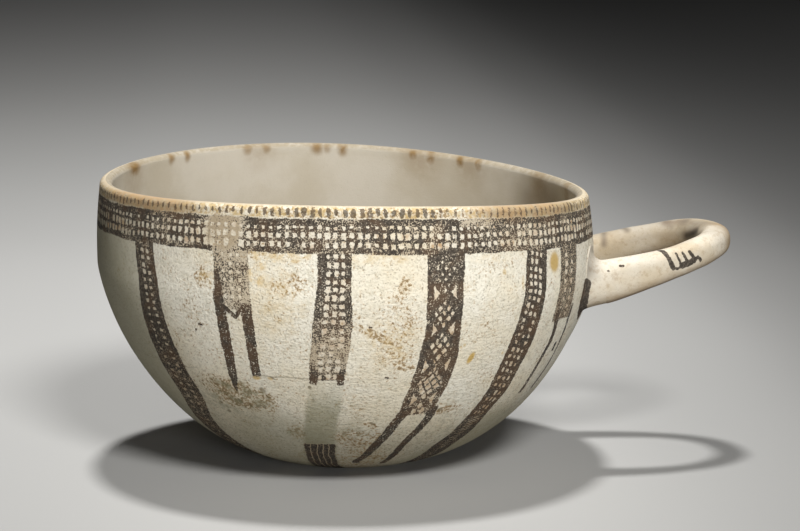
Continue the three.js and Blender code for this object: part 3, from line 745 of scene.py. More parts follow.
def makeBowlPainting():
    tree, entry, leave = newGroup("bowlPainting", [], [
        ("Cover", number), ("Wear", number), ("Browned", number), ("Stain", number), ("Tanned", number),
        ("Lines", number), ("Painted Shade", number),
        ("Ghost", number), ("Ticks", number), ("Spots", number), ("Rusty", number), ("Golden", number),
        ("Olive", number), ("Hairline", number)])
    place = placeGroup(tree, wallPlace)
    spot = place["Spot"]
    radius = place["Radius"]
    trueHeight = place["Height"]
    wander = painting["wander"]
    strays = []
    for seed in ((0.0, 0.0, 0.0), (40.0, 9.0, 3.0)):
        moved = vectorCalc(tree, "ADD", spot, seed)
        slow = calc(tree, "MULTIPLY_ADD", noiseAt(tree, moved, 0.1, 2, 0.5), wander, -wander / 2)
        quick = calc(tree, "MULTIPLY_ADD", noiseAt(tree, moved, 0.75, 2, 0.55), 1.0, -0.5)
        strays.append(calc(tree, "ADD", slow, quick))
    swing = calc(tree, "DEGREES", calc(tree, "DIVIDE", strays[0], radius))
    angle = calc(tree, "ADD", place["Angle"], swing)
    height = calc(tree, "ADD", trueHeight, strays[1])
    ragged = noiseAt(tree, spot, 1.3, 2, 0.6)
    where = {"Angle": angle, "Height": height, "Radius": radius}
    top = painting["bandBottom"] + 0.8
    layers = {"Cover": 0.0, "Wear": 0.0, "Browned": 0.0, "Stain": 0.0, "Tanned": 0.0, "Lines": 0.0}

    def upTheWall(points, reach):
        return curveOf(tree, trueHeight, points, 110.0, reach)

    def add(label, mask):
        layers[label] = calc(tree, "MAXIMUM", mask, layers[label])

    def take(made, row):
        body = made["Body"]
        add("Cover", made["Cover"])
        add("Wear", product(tree, body, upTheWall(row["wear"], 1.0)))
        brown = upTheWall(row["brown"], 1.0)
        add("Browned", product(tree, body, brown))
        add("Tanned", product(tree, body, made["Hole"], brown))
        pale = calc(tree, "MULTIPLY_ADD", made["Hole"], -0.75, 1.0)
        add("Stain", product(tree, body, pale, upTheWall(row["stain"], 4.0)))

    for row in painting["ladders"]:
        take(placeGroup(tree, paintedStrip, where | {
            "Centre": upTheWall(row["centre"], 180.0), "Half Width": upTheWall(row["half"], 10.0),
            "Top": float(row.get("top", top)), "Bottom": float(row["bottom"]), "Edge": row["edge"],
            "Shift": row.get("shift", 0.0), "Rows Across": float(row["across"]), "Pitch": row["pitch"],
            "Open": upTheWall(row["open"], 2.0), "Tall": row.get("tall", 1.0), "Slant": row.get("slant", 0.0),
            "Ragged": ragged}), row)
    for row in painting["lozenges"]:
        take(placeGroup(tree, lozengeStrip, where | {
            "Centre": upTheWall(row["centre"], 180.0), "Half Width": upTheWall(row["half"], 10.0),
            "Top": top, "Bottom": float(row["bottom"]), "Length": row["length"], "First Joint": row["joint"],
            "Open": upTheWall(row["open"], 2.0), "Ragged": ragged}), row)

    # the band of squares under the rim
    bandTop = painting["bandTop"]
    bandBottom = painting["bandBottom"]
    band = product(tree, mapped(tree, height, bandBottom - 0.3, bandBottom + 0.3),
                   mapped(tree, height, bandTop + 0.4, bandTop - 0.4))
    arc = calc(tree, "MULTIPLY", calc(tree, "RADIANS", angle), 93.0)
    cell = calc(tree, "DIVIDE", arc, painting["squarePitch"])
    tight = mapped(tree, noiseAt(tree, spot, 0.045, 2, 0.5), 0.35, 0.6, 0.8, 1.1)
    farLeft = placeGroup(tree, softSpot, where | {
        "Centre": 180.0, "Level": 96.0, "Half Width": 34.0, "Half Height": 30.0, "Softness": 0.2})["Cover"]
    tight = product(tree, tight, calc(tree, "MULTIPLY_ADD", farLeft, -0.14, 1.0))
    squares = 0.0
    for middle, openness, tallness in painting["bandRows"]:
        off = calc(tree, "SUBTRACT", height, middle)
        made = placeGroup(tree, openCell, {
            "Across": cell, "Up": calc(tree, "MULTIPLY_ADD", off, 1 / 3.2, 0.5), "Seed": middle,
            "Open": product(tree, tight, openness * 1.75), "Tall": tallness * 0.8, "Ragged": ragged})
        inRow = product(tree, made["Hole"], mapped(tree, calc(tree, "ABSOLUTE", off), 1.65, 1.5))
        squares = calc(tree, "MAXIMUM", inRow, squares)
    add("Cover", product(tree, band, calc(tree, "SUBTRACT", 1.0, squares)))
    bandWear = mapped(tree, noiseAt(tree, spot, 0.07, 3, 0.6), 0.4, 0.64, 0.03, 0.42)
    worn = 0.0
    for at, level, halfWidth, halfHeight, softness, strength in painting["wornPlaces"]:
        made = placeGroup(tree, softSpot, where | {
            "Centre": at, "Level": level, "Half Width": halfWidth, "Half Height": halfHeight, "Softness": softness})
        worn = calc(tree, "MAXIMUM", product(tree, made["Cover"], strength), worn)
    add("Wear", product(tree, band, calc(tree, "MAXIMUM", bandWear, worn)))
    add("Browned", product(tree, band, 0.3))
    add("Tanned", product(tree, band, squares, mapped(tree, noiseAt(tree, spot, 0.12, 2, 0.6), 0.5, 0.68, 0.1, 0.8)))
    pale = calc(tree, "MULTIPLY_ADD", squares, -0.8, 1.0)
    add("Stain", product(tree, band, pale, calc(tree, "MAXIMUM", worn, 0.8)))

    add("Tanned", spotsMask(tree, place, painting["brownLips"]))

    # single lines and strokes
    for centre, half, lineTop, bottom, fade in painting["legs"]:
        add("Lines", placeGroup(tree, paintedLine, where | {
            "Centre": upTheWall(centre, 180.0), "Half Width": upTheWall(half, 10.0), "Top": lineTop,
            "Bottom": bottom, "Fade": fade})["Cover"])
    strayed = vectorCalc(tree, "ADD", place["Flat"], vectorCalc(tree, "SCALE", (0.4, 0.4, 0.0), scale=ragged))
    for start, end, width in painting["strokes"]:
        from3d = (start[0] * math.radians(90), start[1], 0.0)
        to3d = (end[0] * math.radians(90), end[1], 0.0)
        add("Lines", placeGroup(tree, brushStroke, {
            "Spot": strayed, "Start": from3d, "End": to3d, "Width": width})["Cover"])
    for label, mask in layers.items():
        tree.links.new(mask, leave[label])

    # a shadow of lost paint below the middle strip
    ghost = placeGroup(tree, paintedLine, where | {
        "Centre": upTheWall([(47, -98.6), (41, -99.2), (19, -103.2), (4.8, -106.5)], 180.0),
        "Half Width": upTheWall([(44, 6.4), (19, 5.8)], 10.0), "Top": 45.0, "Bottom": 1.0, "Blur": 1.1})["Cover"]
    deeper = mapped(tree, trueHeight, 46.0, 30.0, 0.15, 1.0)
    hazy = mapped(tree, noiseAt(tree, spot, 0.28, 4, 0.65), 0.38, 0.62)
    haze = product(tree, hazy, spotsMask(tree, place, painting["hazePlaces"]))
    tree.links.new(calc(tree, "MAXIMUM", product(tree, ghost, deeper), haze), leave["Ghost"])

    # short ticks along the outside of the lip: rounder at the left, thin strokes at the right
    tickArc = calc(tree, "MULTIPLY", calc(tree, "RADIANS", angle), 92.0)
    thinner = mapped(tree, place["Angle"], -86.0, -60.0, 1.0, 0.66)
    shorter = mapped(tree, place["Angle"], -118.0, -102.0, 0.58, 1.0)
    uneven = mapped(tree, noiseAt(tree, spot, 0.5, 2, 0.6), 0.3, 0.7, 0.7, 1.15)
    ticks = placeGroup(tree, openCell, {
        "Across": calc(tree, "DIVIDE", tickArc, painting["tickPitch"]),
        "Up": calc(tree, "MULTIPLY_ADD", calc(tree, "SUBTRACT", height, painting["tickHeight"]), 0.25, 0.5),
        "Seed": 7.0, "Open": product(tree, thinner, shorter, uneven), "Tall": calc(tree, "DIVIDE", 1.6, thinner),
        "Ragged": ragged, "Squareness": 2.4})["Hole"]
    missing = mapped(tree, noiseAt(tree, spot, 0.09, 2, 0.6), 0.3, 0.42, 0.35, 1.0)
    gate = mapped(tree, calc(tree, "ABSOLUTE", calc(tree, "SUBTRACT", height, painting["tickHeight"])), 2.0, 1.8)
    paler = product(tree, mapped(tree, place["Angle"], -72.0, -50.0, 1.0, 0.62),
                    mapped(tree, place["Angle"], -145.0, -118.0, 0.72, 1.0))
    tree.links.new(product(tree, ticks, missing, gate, paler), leave["Ticks"])

    tree.links.new(spotsMask(tree, place, painting["ochreSpots"]), leave["Spots"])
    tree.links.new(spotsMask(tree, place, painting["rustPlaces"]), leave["Rusty"])
    tree.links.new(spotsMask(tree, place, painting["goldPlaces"]), leave["Golden"])
    # painted shade over the left side, which faces away from the lamps, and over the listed patches
    leftShade = placeGroup(tree, softSpot, where | {
        "Centre": -166.0, "Level": 58.0, "Half Width": 38.0, "Half Height": 50.0, "Softness": 0.45})
    shaded = calc(tree, "MAXIMUM", leftShade["Cover"], spotsMask(tree, place, painting["shadedPlaces"]))
    tree.links.new(shaded, leave["Painted Shade"])
    tree.links.new(spotsMask(tree, place, painting["oliveSpots"]), leave["Olive"])

    # the hairline where the upper body was built on to the lower
    waver = calc(tree, "MULTIPLY_ADD", noiseAt(tree, spot, 0.05, 4, 0.6), 6.0, -2.9)
    seam = calc(tree, "ABSOLUTE", calc(tree, "SUBTRACT", calc(tree, "SUBTRACT", trueHeight, waver), bowl["seamHeight"]))
    faint = mapped(tree, noiseAt(tree, spot, 0.09, 3, 0.6), 0.48, 0.66, 0.0, 0.4)
    faint = calc(tree, "MAXIMUM", faint, spotsMask(tree, place, painting["seamPlaces"]))
    hairline = product(tree, mapped(tree, seam, 0.42, 0.05), faint)
    tree.links.new(hairline, leave["Hairline"])
    return tree


bowlPainting = makeBowlPainting()
print("painting made")


finish = {
    "slipPale": (244, 238, 221),
    "slipWarm": (238, 227, 202),
    "slipDull": (178, 170, 144),
    "slipGold": (222, 190, 128),
    "shadeTone": (172, 166, 138),
    "grit": (108, 90, 56),
    "rust": (168, 130, 74),
    "olive": (100, 84, 46),
    "paintDark": (65, 58, 50),
    "paintGrey": (114, 104, 91),
    "paintBrown": (98, 77, 58),
    "paintStain": (184, 166, 138),
    "paintTan": (186, 146, 100),
    "ghost": (140, 136, 106),
    "ochre": (198, 162, 82),
    "seamLine": (140, 128, 104),
    "insidePale": (198, 191, 177),
    "insideWarm": (187, 178, 160),
    "insideDull": (167, 157, 139),
    "drip": (128, 96, 42),
    "insideDark": (104, 86, 56),
    "lipBuff": (204, 176, 122),
    "lipPale": (210, 196, 170),
    "lipInside": (164, 152, 130),
    "strapPale": (220, 212, 196),
    "strapWarm": (198, 181, 152),
    "strapTan": (162, 138, 106),
    "grainDepth": 0.00062,
    "lipGrainDepth": 0.0004,
    "softGrainDepth": 0.00012,
}


def newMaterial(name):
    material = bpy.data.materials.new(name)
    material.use_nodes = True
    tree = material.node_tree
    tree.nodes.clear()
    shader = tree.nodes.new("ShaderNodeBsdfPrincipled")
    shader.inputs["Specular IOR Level"].default_value = 0.3
    output = tree.nodes.new("ShaderNodeOutputMaterial")
    tree.links.new(shader.outputs[0], output.inputs["Surface"])
    return material, tree, shader


def roughen(tree, shader, height, depth):
    bump = tree.nodes.new("ShaderNodeBump")
    bump.inputs["Distance"].default_value = depth
    bump.inputs["Strength"].default_value = 1.0
    tree.links.new(height, bump.inputs["Height"])
    tree.links.new(bump.outputs[0], shader.inputs["Normal"])


def groundOf(tree, spot, height, tones, rusty, dullBelow, coarse):
    pale, warm, dull = tones
    return placeGroup(tree, slipGround, {
        "Spot": spot, "Height": height, "Pale": colour(*finish[pale]), "Warm": colour(*finish[warm]),
        "Dull": colour(*finish[dull]), "Grit": colour(*finish["grit"]), "Rust": colour(*finish["rust"]),
        "Rusty": rusty, "Dull Below": dullBelow, "Coarse": coarse})


def flakedOf(tree, spot, cover, wear, browned):
    return placeGroup(tree, flakedPaint, {
        "Cover": cover, "Wear": wear, "Browned": browned, "Spot": spot, "Dark": colour(*finish["paintDark"]),
        "Grey": colour(*finish["paintGrey"]), "Brown": colour(*finish["paintBrown"])})


def tinted(tree, factor, body, shade):
    return mixed(tree, factor, body, colour(*finish[shade]))


# The brushed line round the near root of the handle, which runs over the bowl and the clay
def rootLineMask(tree, spot):
    line = painting["rootLine"]
    stray = vectorCalc(tree, "SCALE", noiseNode(tree, spot, 0.5, 2, 0.5).outputs["Color"], scale=1.6)
    strayed = vectorCalc(tree, "ADD", vectorCalc(tree, "SUBTRACT", spot, (0.8, 0.8, 0.8)), stray)
    mask = 0.0
    for start, end in zip(line, line[1:]):
        made = placeGroup(tree, brushStroke, {
            "Spot": strayed, "Start": start, "End": end, "Width": painting["rootLineWidth"]})
        mask = calc(tree, "MAXIMUM", made["Cover"], mask)
    return mask


# The painted outer face of the bowl, and with onLip its lip
def makePaintedSlip(name, onLip):
    material, tree, shader = newMaterial(name)
    place = placeGroup(tree, wallPlace)
    picture = placeGroup(tree, bowlPainting)
    spot = place["Spot"]
    onRim = mapped(tree, place["Height"], 101.3, 102.2)
    rusty = calc(tree, "ADD", picture["Rusty"], product(tree, onRim, 0.7))
    coarse = mapped(tree, place["Height"], 44.0, 4.0, 1.0, 2.5)
    ground = groundOf(tree, spot, place["Height"], ("slipPale", "slipWarm", "slipDull"), rusty, 15.0, coarse)
    # painted shade: the left side, the lower body and parts of the lip drawn in a dull tone
    body = tinted(tree, product(tree, picture["Painted Shade"], 0.78), ground["Color"], "shadeTone")
    gilt = mapped(tree, noiseAt(tree, spot, 0.3, 4, 0.7), 0.38, 0.66)
    body = tinted(tree, product(tree, picture["Golden"], gilt, 0.95), body, "slipGold")
    buff = product(tree, onRim, mapped(tree, noiseAt(tree, spot, 0.36, 4, 0.7), 0.42, 0.64, 0.08, 0.85))
    body = tinted(tree, buff, body, "lipBuff")
    if onLip:
        crest = mapped(tree, place["Height"], 105.4, 106.6)
        body = tinted(tree, product(tree, crest, 0.8), body, "lipPale")
    # more painted shade on the rim, in tan
    body = tinted(tree, product(tree, onRim, picture["Painted Shade"], 0.6), body, "strapTan")
    body = tinted(tree, picture["Olive"], body, "olive")
    body = tinted(tree, picture["Spots"], body, "ochre")
    body = tinted(tree, product(tree, picture["Hairline"], 0.6), body, "seamLine")
    body = tinted(tree, product(tree, picture["Ghost"], 0.65), body, "ghost")
    body = tinted(tree, product(tree, picture["Stain"], 0.9), body, "paintStain")
    tan = mapped(tree, noiseAt(tree, spot, 0.3, 2, 0.6), 0.35, 0.6, 0.25, 1.0)
    body = tinted(tree, product(tree, picture["Tanned"], tan), body, "paintTan")
    flaked = flakedOf(tree, spot, picture["Cover"], picture["Wear"], picture["Browned"])
    body = mixed(tree, flaked["Cover"], body, flaked["Color"])
    rootLine = rootLineMask(tree, spot)
    lines = calc(tree, "MAXIMUM", picture["Lines"], rootLine)
    brushed = flakedOf(tree, spot, lines, mapped(tree, rootLine, 0.0, 0.2, 0.04, -0.35), 0.45)
    body = mixed(tree, brushed["Cover"], body, brushed["Color"])
    if onLip or name == "outsideSlip":
        ticks = flakedOf(tree, spot, picture["Ticks"], -0.05, 0.5)
        body = mixed(tree, product(tree, ticks["Cover"], 0.82), body, ticks["Color"])
    tree.links.new(body, shader.inputs["Base Color"])
    tree.links.new(ground["Roughness"], shader.inputs["Roughness"])
    raised = calc(tree, "SUBTRACT", ground["Grain"], product(tree, picture["Hairline"], 0.02))
    roughen(tree, shader, raised, finish["lipGrainDepth" if onLip else "grainDepth"])
    return material


# Soft brown runs that hang from the lip inside: degrees, half width, length and strength
insideRuns = [
    (155.3, 4.6, 3.4, 0.9), (155.3, 6.5, 10.0, 0.32), (138.2, 1.6, 2.3, 0.75), (132.3, 1.4, 2.3, 0.8),
    (113.2, 2.1, 2.4, 0.65), (110.2, 6.0, 8.0, 0.25), (107.9, 1.8, 2.4, 0.65), (94.1, 2.2, 2.5, 0.8), (91.4, 1.4, 1.9, 0.6),
    (87.3, 1.8, 2.7, 0.9), (68.2, 1.8, 2.6, 0.85), (66.2, 8.0, 9.0, 0.36), (63.4, 2.0, 3.2, 0.9),
    (54.5, 1.7, 2.8, 0.9), (51.8, 6.5, 9.0, 0.32), (48.9, 1.6, 3.0, 0.95), (25.9, 5.0, 9.0, 0.4),
    (9.6, 4.0, 8.0, 0.45),
    (-95.0, 1.6, 3.0, 0.6), (-130.0, 2.0, 4.0, 0.6), (-60.0, 1.8, 3.0, 0.6),
]


# The plain inner face and the inner half of the lip
def makeInsideSlip(name):
    material, tree, shader = newMaterial(name)
    place = placeGroup(tree, wallPlace)
    spot = place["Spot"]
    ground = groundOf(tree, spot, place["Height"], ("insidePale", "insideWarm", "insideDull"), -2.0, 40.0, 0.12)
    dripping = {"Angle": place["Angle"], "Height": place["Height"]}
    run = 0.0
    for at, half, length, strength in insideRuns:
        made = placeGroup(tree, softSpot, dripping | {
            "Radius": 87.0, "Centre": at, "Level": 104.1, "Half Width": half, "Half Height": length,
            "Softness": 0.8})
        run = calc(tree, "MAXIMUM", product(tree, made["Cover"], strength), run)
    blotched = mapped(tree, noiseAt(tree, spot, 0.24, 3, 0.5), 0.32, 0.58, 0.5, 1.0)
    rim = mapped(tree, place["Height"], 103.4, 105.4)
    rim = product(tree, rim, mapped(tree, noiseAt(tree, spot, 0.5, 3, 0.6), 0.3, 0.6, 0.5, 1.0))
    body = tinted(tree, rim, ground["Color"], "lipInside")
    body = tinted(tree, product(tree, run, blotched), body, "drip")
    # a dark brown patch high on the inner face near the handle
    stain = placeGroup(tree, softSpot, dripping | {
        "Radius": 87.0, "Centre": 24.0, "Level": 92.0, "Half Width": 17.0, "Half Height": 12.0, "Softness": 0.55})
    body = tinted(tree, product(tree, stain["Cover"], 0.6), body, "insideDark")
    tree.links.new(body, shader.inputs["Base Color"])
    tree.links.new(ground["Roughness"], shader.inputs["Roughness"])
    roughen(tree, shader, ground["Grain"], finish["softGrainDepth"])
    return material


handlePaint = {
    # brush strokes: places in millimetres, and the width of the brush
    "strokes": [
        ([(111.0, -21.5, 81.9), (114.1, -24.3, 80.7)], 0.9),
        ([(114.1, -24.3, 80.7), (115.7, -26.0, 79.9), (117.1, -27.0, 77.8), (118.2, -27.0, 75.5),
          (118.9, -26.7, 74.2)], 1.9),
        ([(120.0, -25.2, 79.7), (121.1, -25.8, 77.5), (121.9, -25.6, 75.2)], 0.9),
        ([(122.8, -24.5, 79.5), (123.9, -24.5, 77.6), (124.8, -24.2, 75.7)], 1.1),
        ([(125.6, -23.2, 79.7), (126.8, -23.0, 78.1), (127.7, -22.7, 77.3)], 1.3),
        ([(118.6, -27.0, 74.3), (121.0, -25.9, 73.8), (122.6, -25.2, 74.8)], 1.1),
        ([(122.6, -25.2, 74.9), (125.2, -24.0, 75.6), (127.4, -22.8, 76.6)], 2.5),
        ([(127.4, -22.8, 76.6), (129.0, -21.8, 77.5), (130.2, -20.9, 76.2)], 1.3),
        ([(98.1, -31.3, 76.1), (99.4, -31.3, 76.1)], 0.8),
        ([(93.6, -31.8, 74.4), (93.8, -31.8, 74.3)], 0.9),
    ],
    # soft shades, first those of old paint: from, to, width, strength and shade
    "shades": [
        ((101.5, 32.5, 78.5), (101.0, 28.8, 74.8), 2.2, 0.85, "paintGrey"),
        ((109.3, 33.0, 80.6), (110.3, 30.4, 79.9), 2.2, 0.8, "paintGrey"),
        ((124.9, 25.7, 83.3), (126.4, 23.0, 82.3), 2.4, 0.4, "paintGrey"),
        # the top and inner face of the far arm and the top of the bend: painted shade where the light falls strongest,
        # with brown mottling along the arm's top edge
        ((98.0, 33.0, 78.5), (124.0, 28.0, 83.5), 8.0, 0.4, "paintGrey"),
        ((102.0, 29.5, 73.0), (124.0, 24.5, 77.5), 9.0, 0.25, "strapTan"),
        ((124.7, 27.1, 83.5), (131.4, 20.5, 84.7), 3.6, 0.6, "paintBrown"),
        ((131.4, 20.5, 84.7), (138.7, 4.0, 86.2), 6.0, 0.62, "paintGrey"),
        # painted shade in the hollow of the bend, over a golden-brown stain
        ((124.0, 24.0, 77.4), (130.0, 18.6, 79.0), 5.0, 0.3, "drip"),
        ((130.6, 17.2, 79.4), (134.0, 10.0, 82.4), 3.0, 0.6, "paintBrown"),
        ((131.0, 16.0, 79.6), (134.2, 8.5, 82.6), 2.4, 0.75, "paintDark"),
        # the clay at the near root: a grey smudge that also works as painted shade over a highlight on the clay's edge,
        # and the faded top of the root line
        ((88.5, -25.5, 81.6), (87.0, -33.0, 75.2), 6.0, 0.62, "paintGrey"),
        ((86.0, -36.5, 78.0), (84.6, -37.4, 72.0), 5.0, 0.45, "paintGrey"),
        # the tip: tan clay, with painted shade on its lit top
        ((144.0, -5.0, 78.0), (142.5, 3.0, 84.5), 8.0, 0.95, "strapTan"),
        ((137.0, -10.0, 82.5), (143.5, -2.0, 85.0), 7.0, 0.35, "paintGrey"),
    ],
}


# The slip on the handle and on the clay at its roots, with painted shade underneath: darker and browner towards the
# underside
def makeStrapSlip(name):
    material, tree, shader = newMaterial(name)
    place = tree.nodes.new("ShaderNodeTexCoord").outputs["Object"]
    spot = vectorCalc(tree, "SCALE", place, scale=1000.0)
    ground = groundOf(tree, spot, 60.0, ("strapPale", "strapWarm", "slipDull"), -0.7, 20.0, 0.4)
    under = tree.nodes.new("ShaderNodeAttribute")
    under.attribute_name = "strapUnder"
    clouds = noiseAt(tree, vectorCalc(tree, "MULTIPLY", spot, (0.5, 0.5, 1.2)), 0.16, 4, 0.6)
    # tan towards the underside: partly the clay's own tone, partly painted shade
    lower = calc(tree, "MULTIPLY_ADD", clouds, 1.3, calc(tree, "SUBTRACT", under.outputs["Fac"], 0.72))
    body = tinted(tree, mapped(tree, lower, 0.0, 1.0, 0.0, 0.75), ground["Color"], "strapTan")
    mottled = mapped(tree, noiseAt(tree, spot, 0.42, 4, 0.7), 0.5, 0.68)
    body = tinted(tree, product(tree, mottled, 0.4), body, "strapTan")
    # a brown line along the very underside, partly dirt and partly painted shade
    below = mapped(tree, under.outputs["Fac"], 0.72, 0.98, 0.0, 0.6)
    body = tinted(tree, below, body, "paintBrown")
    for start, end, width, strength, tone in handlePaint["shades"]:
        shade = placeGroup(tree, brushStroke, {
            "Spot": spot, "Start": start, "End": end, "Width": width, "Softness": width * 0.55})["Cover"]
        body = tinted(tree, product(tree, shade, strength), body, tone)
    stray = vectorCalc(tree, "SCALE", noiseNode(tree, spot, 0.7, 2, 0.5).outputs["Color"], scale=0.9)
    brushed = vectorCalc(tree, "ADD", vectorCalc(tree, "SUBTRACT", spot, (0.45, 0.45, 0.45)), stray)
    mask = rootLineMask(tree, spot)
    for path, width in handlePaint["strokes"]:
        for start, end in zip(path, path[1:]):
            made = placeGroup(tree, brushStroke, {
                "Spot": brushed, "Start": start, "End": end, "Width": width, "Softness": 0.25})
            mask = calc(tree, "MAXIMUM", made["Cover"], mask)
    flaked = flakedOf(tree, spot, mask, -0.3, 0.0)
    body = mixed(tree, flaked["Cover"], body, flaked["Color"])
    tree.links.new(body, shader.inputs["Base Color"])
    tree.links.new(ground["Roughness"], shader.inputs["Roughness"])
    roughen(tree, shader, ground["Grain"], finish["softGrainDepth"])
    return material


outsideSlip = makePaintedSlip("outsideSlip", False)
lipSlip = makePaintedSlip("lipSlip", True)
insideSlip = makeInsideSlip("insideSlip")
strapSlip = makeStrapSlip("strapSlip")
lutingSlip = makeStrapSlip("lutingSlip")
print("finishes made")


# The two body pieces. Each lip row has the same paint height on the way up and down.
outside, lip, inside = 0, 1, 2
depth = bowl["unevenness"]
baseRows = [(0, 0.0, 0.0, 0.0, outside)]
seam = bowl["seamHeight"]
underSeam = seam - bowl["seamSupport"]
overSeam = seam + bowl["seamSupport"]
for height in steps(0, seam, 34, 1.5)[:-1] + [underSeam, seam]:
    share = smoothStep(height, 0, 12)
    baseRows.append((outerRadius(height), height, height, depth * share, outside))
for height in reversed(steps(bowl["floorThickness"] + 0.02, seam, 24, 1.6)[:-1] + [underSeam, seam]):
    baseRows.append((innerRadius(height), height, height, -0.3, inside))
baseRows.append((0, bowl["floorThickness"], bowl["floorThickness"], 0.0, inside))
bowlBase = turnedSkin("bowlBase", baseRows, [outsideSlip, lipSlip, insideSlip], False)

wallRows = []
for height in [seam, overSeam] + steps(seam, lipBase, 40)[1:-1]:
    wallRows.append((outerRadius(height), height, height, depth, outside))
lipOuter = outerRadius(lipBase)
lipInner = innerRadius(lipBase)
lipHalf = bowl["lipThickness"] / 2
for turn in steps(0, math.pi, 20):
    radius = (lipOuter + lipInner) / 2 + (lipOuter - lipInner) / 2 * math.cos(turn)
    height = lipBase + (lipHalf - 0.2) * math.sin(turn)
    paintHeight = lipBase + lipHalf * min(turn, math.pi - turn)
    face = lip if turn < math.pi / 2 - 0.01 else inside
    wallRows.append((radius, height, paintHeight, depth * (0.5 + 0.5 * math.cos(turn)), face))
for height in steps(lipBase, seam, 34)[1:-1] + [overSeam, seam]:
    wallRows.append((innerRadius(height), height, height, -0.3, inside))
bowlWall = turnedSkin("bowlWall", wallRows, [outsideSlip, lipSlip, insideSlip], True)
print("body made")


# The handle
handle = {
    "farRootHeight": 65.7,
    "farRootOffset": 33.5,
    "nearRootHeight": 68.4,
    "nearRootOffset": 27.3,
    "loopReach": 47.5,
    "tipHeight": 80.8,
    "tipOffset": 2.4,
    "farArm": (42.0, 13.5, 2.6, 22.0),     # run, rise, spread, tip run
    "nearArm": (39.0, 8.0, 0.9, 10.0),
    "squareness": 2.3,
    "rootHalf": (5.9, 8.5),
    "armHalf": (4.6, 6.1),
    "tipHalf": (5.9, 5.6),
    "tenonHalf": (4.6, 6.2),
    "tenonProud": 2.0,
    "shoulder": 5.0,
    "collarLength": 8.0,
    "sides": 56,
    "rows": 64,
    "unevenness": 0.4,
}


def rootPoint(side):
    offset = handle["farRootOffset"] if side > 0 else handle["nearRootOffset"]
    height = handle["farRootHeight"] if side > 0 else handle["nearRootHeight"]
    reach = math.sqrt(outerRadius(height) ** 2 - offset ** 2)
    return Vector((reach - leanAt(height), side * offset, height))


tipPoint = Vector((bowl["bellyRadius"] - leanAt(handle["tipHeight"]) + handle["loopReach"],
                   handle["tipOffset"], handle["tipHeight"]))


# One arm's middle line as a fine table of points, and its length
def armLine(side):
    run, rise, spread, tipRun = handle["farArm"] if side > 0 else handle["nearArm"]
    root = rootPoint(side)
    leave = root + Vector((run, side * spread, rise))
    arrive = tipPoint + Vector((0, side * tipRun, 0))
    points = []
    for index in range(401):
        share = index / 400
        back = 1 - share
        points.append(root * back ** 3 + leave * (3 * share * back ** 2)
                      + arrive * (3 * share ** 2 * back) + tipPoint * share ** 3)
    lengths = [0.0]
    for first, second in zip(points, points[1:]):
        lengths.append(lengths[-1] + (second - first).length)
    return points, lengths


armLines = {1: armLine(1), -1: armLine(-1)}


# The place and the direction of an arm at a distance from its root. It runs straight back before it.
def armAt(side, distance):
    points, lengths = armLines[side]
    if distance <= 0:
        along = (points[1] - points[0]).normalized()
        return points[0] + along * distance, along
    low = 0
    high = len(lengths) - 1
    while high - low > 1:
        middle = (low + high) // 2
        if lengths[middle] <= distance:
            low = middle
        else:
            high = middle
    share = clamp((distance - lengths[low]) / (lengths[high] - lengths[low]))
    along = (points[high] - points[low]).normalized()
    return points[low].lerp(points[high], share), along


def strapHalf(side, distance, which):
    share = clamp(distance / armLines[side][1][-1])
    atRoot = handle["rootHalf"][which]
    atArm = handle["armHalf"][which]
    atTip = handle["tipHalf"][which]
    full = atArm + (atTip - atArm) * smoothStep(share, 0.45, 1)
    full += (atRoot - atArm) * (1 - smoothStep(share, 0, 0.55))
    if distance < handle["shoulder"]:
        return lerp(handle["tenonHalf"][which], full, clamp(distance / handle["shoulder"]))
    return full


def ringPoint(side, distance, turn, margin=0.0):
    middle, along = armAt(side, distance)
    across = along.cross(Vector((0, 0, 1))).normalized()
    upright = across.cross(along)
    power = 2 / handle["squareness"]
    wide = math.copysign(abs(math.cos(turn)) ** power, math.cos(turn))
    high = math.copysign(abs(math.sin(turn)) ** power, math.sin(turn))
    return (middle + across * wide * (strapHalf(side, distance, 0) + margin)
            + upright * high * (strapHalf(side, distance, 1) + margin))


def tenonLength(side):
    root = rootPoint(side)
    out, up = outerNormal(root.z)
    turn = math.atan2(root.y, root.x + leanAt(root.z))
    outward = Vector((out * math.cos(turn), out * math.sin(turn), up))
    return wallThickness(root.z) / armAt(side, 0)[1].dot(outward) + handle["tenonProud"]


# A place on the strap's surface, with its shallow hollows
def strapSurface(side, distance, turn, margin=0.0):
    point = ringPoint(side, distance, turn)
    outwards = (point - armAt(side, distance)[0]).normalized()
    hollow = handle["unevenness"] * (0.5 + 0.5 * noise.noise(point / 9))
    return point - outwards * (hollow - margin)


def makeHandle():
    sides = handle["sides"]
    rows = []
    for side in (1, -1):
        length = armLines[side][1][-1]
        distances = [-tenonLength(side), -tenonLength(side) / 2, 0.0] + steps(1.2, length, handle["rows"])
        arm = []
        for distance in distances:
            ring = []
            for index in range(sides):
                turn = 2 * math.pi * index / sides
                if side < 0:
                    turn = math.pi - turn
                ring.append(strapSurface(side, distance, turn))
            arm.append(ring)
        rows.append(arm)
    near = rows[1][:-1]
    near.reverse()
    rings = rows[0] + near
    points = [point for ring in rings for point in ring]
    under = [-math.sin(2 * math.pi * index / sides) for index in range(sides)] * len(rings)
    faces = []
    for row in range(len(rings) - 1):
        for index in range(sides):
            after = (index + 1) % sides
            here = row * sides
            faces.append((here + index, here + after, here + sides + after, here + sides + index))
    faces.append(tuple(reversed(range(sides))))
    faces.append(tuple(range((len(rings) - 1) * sides, len(rings) * sides)))
    return makeObject("handleStrap", points, faces, [strapSlip], None, {"strapUnder": under})


handleStrap = makeHandle()
print("handle made")


# The clay at the roots
collar = {
    "spreadAbove": 6.4,
    "spreadBelow": 4.4,
    "spreadBeside": 4.6,
    "steps": 14,
    "sides": 64,
}


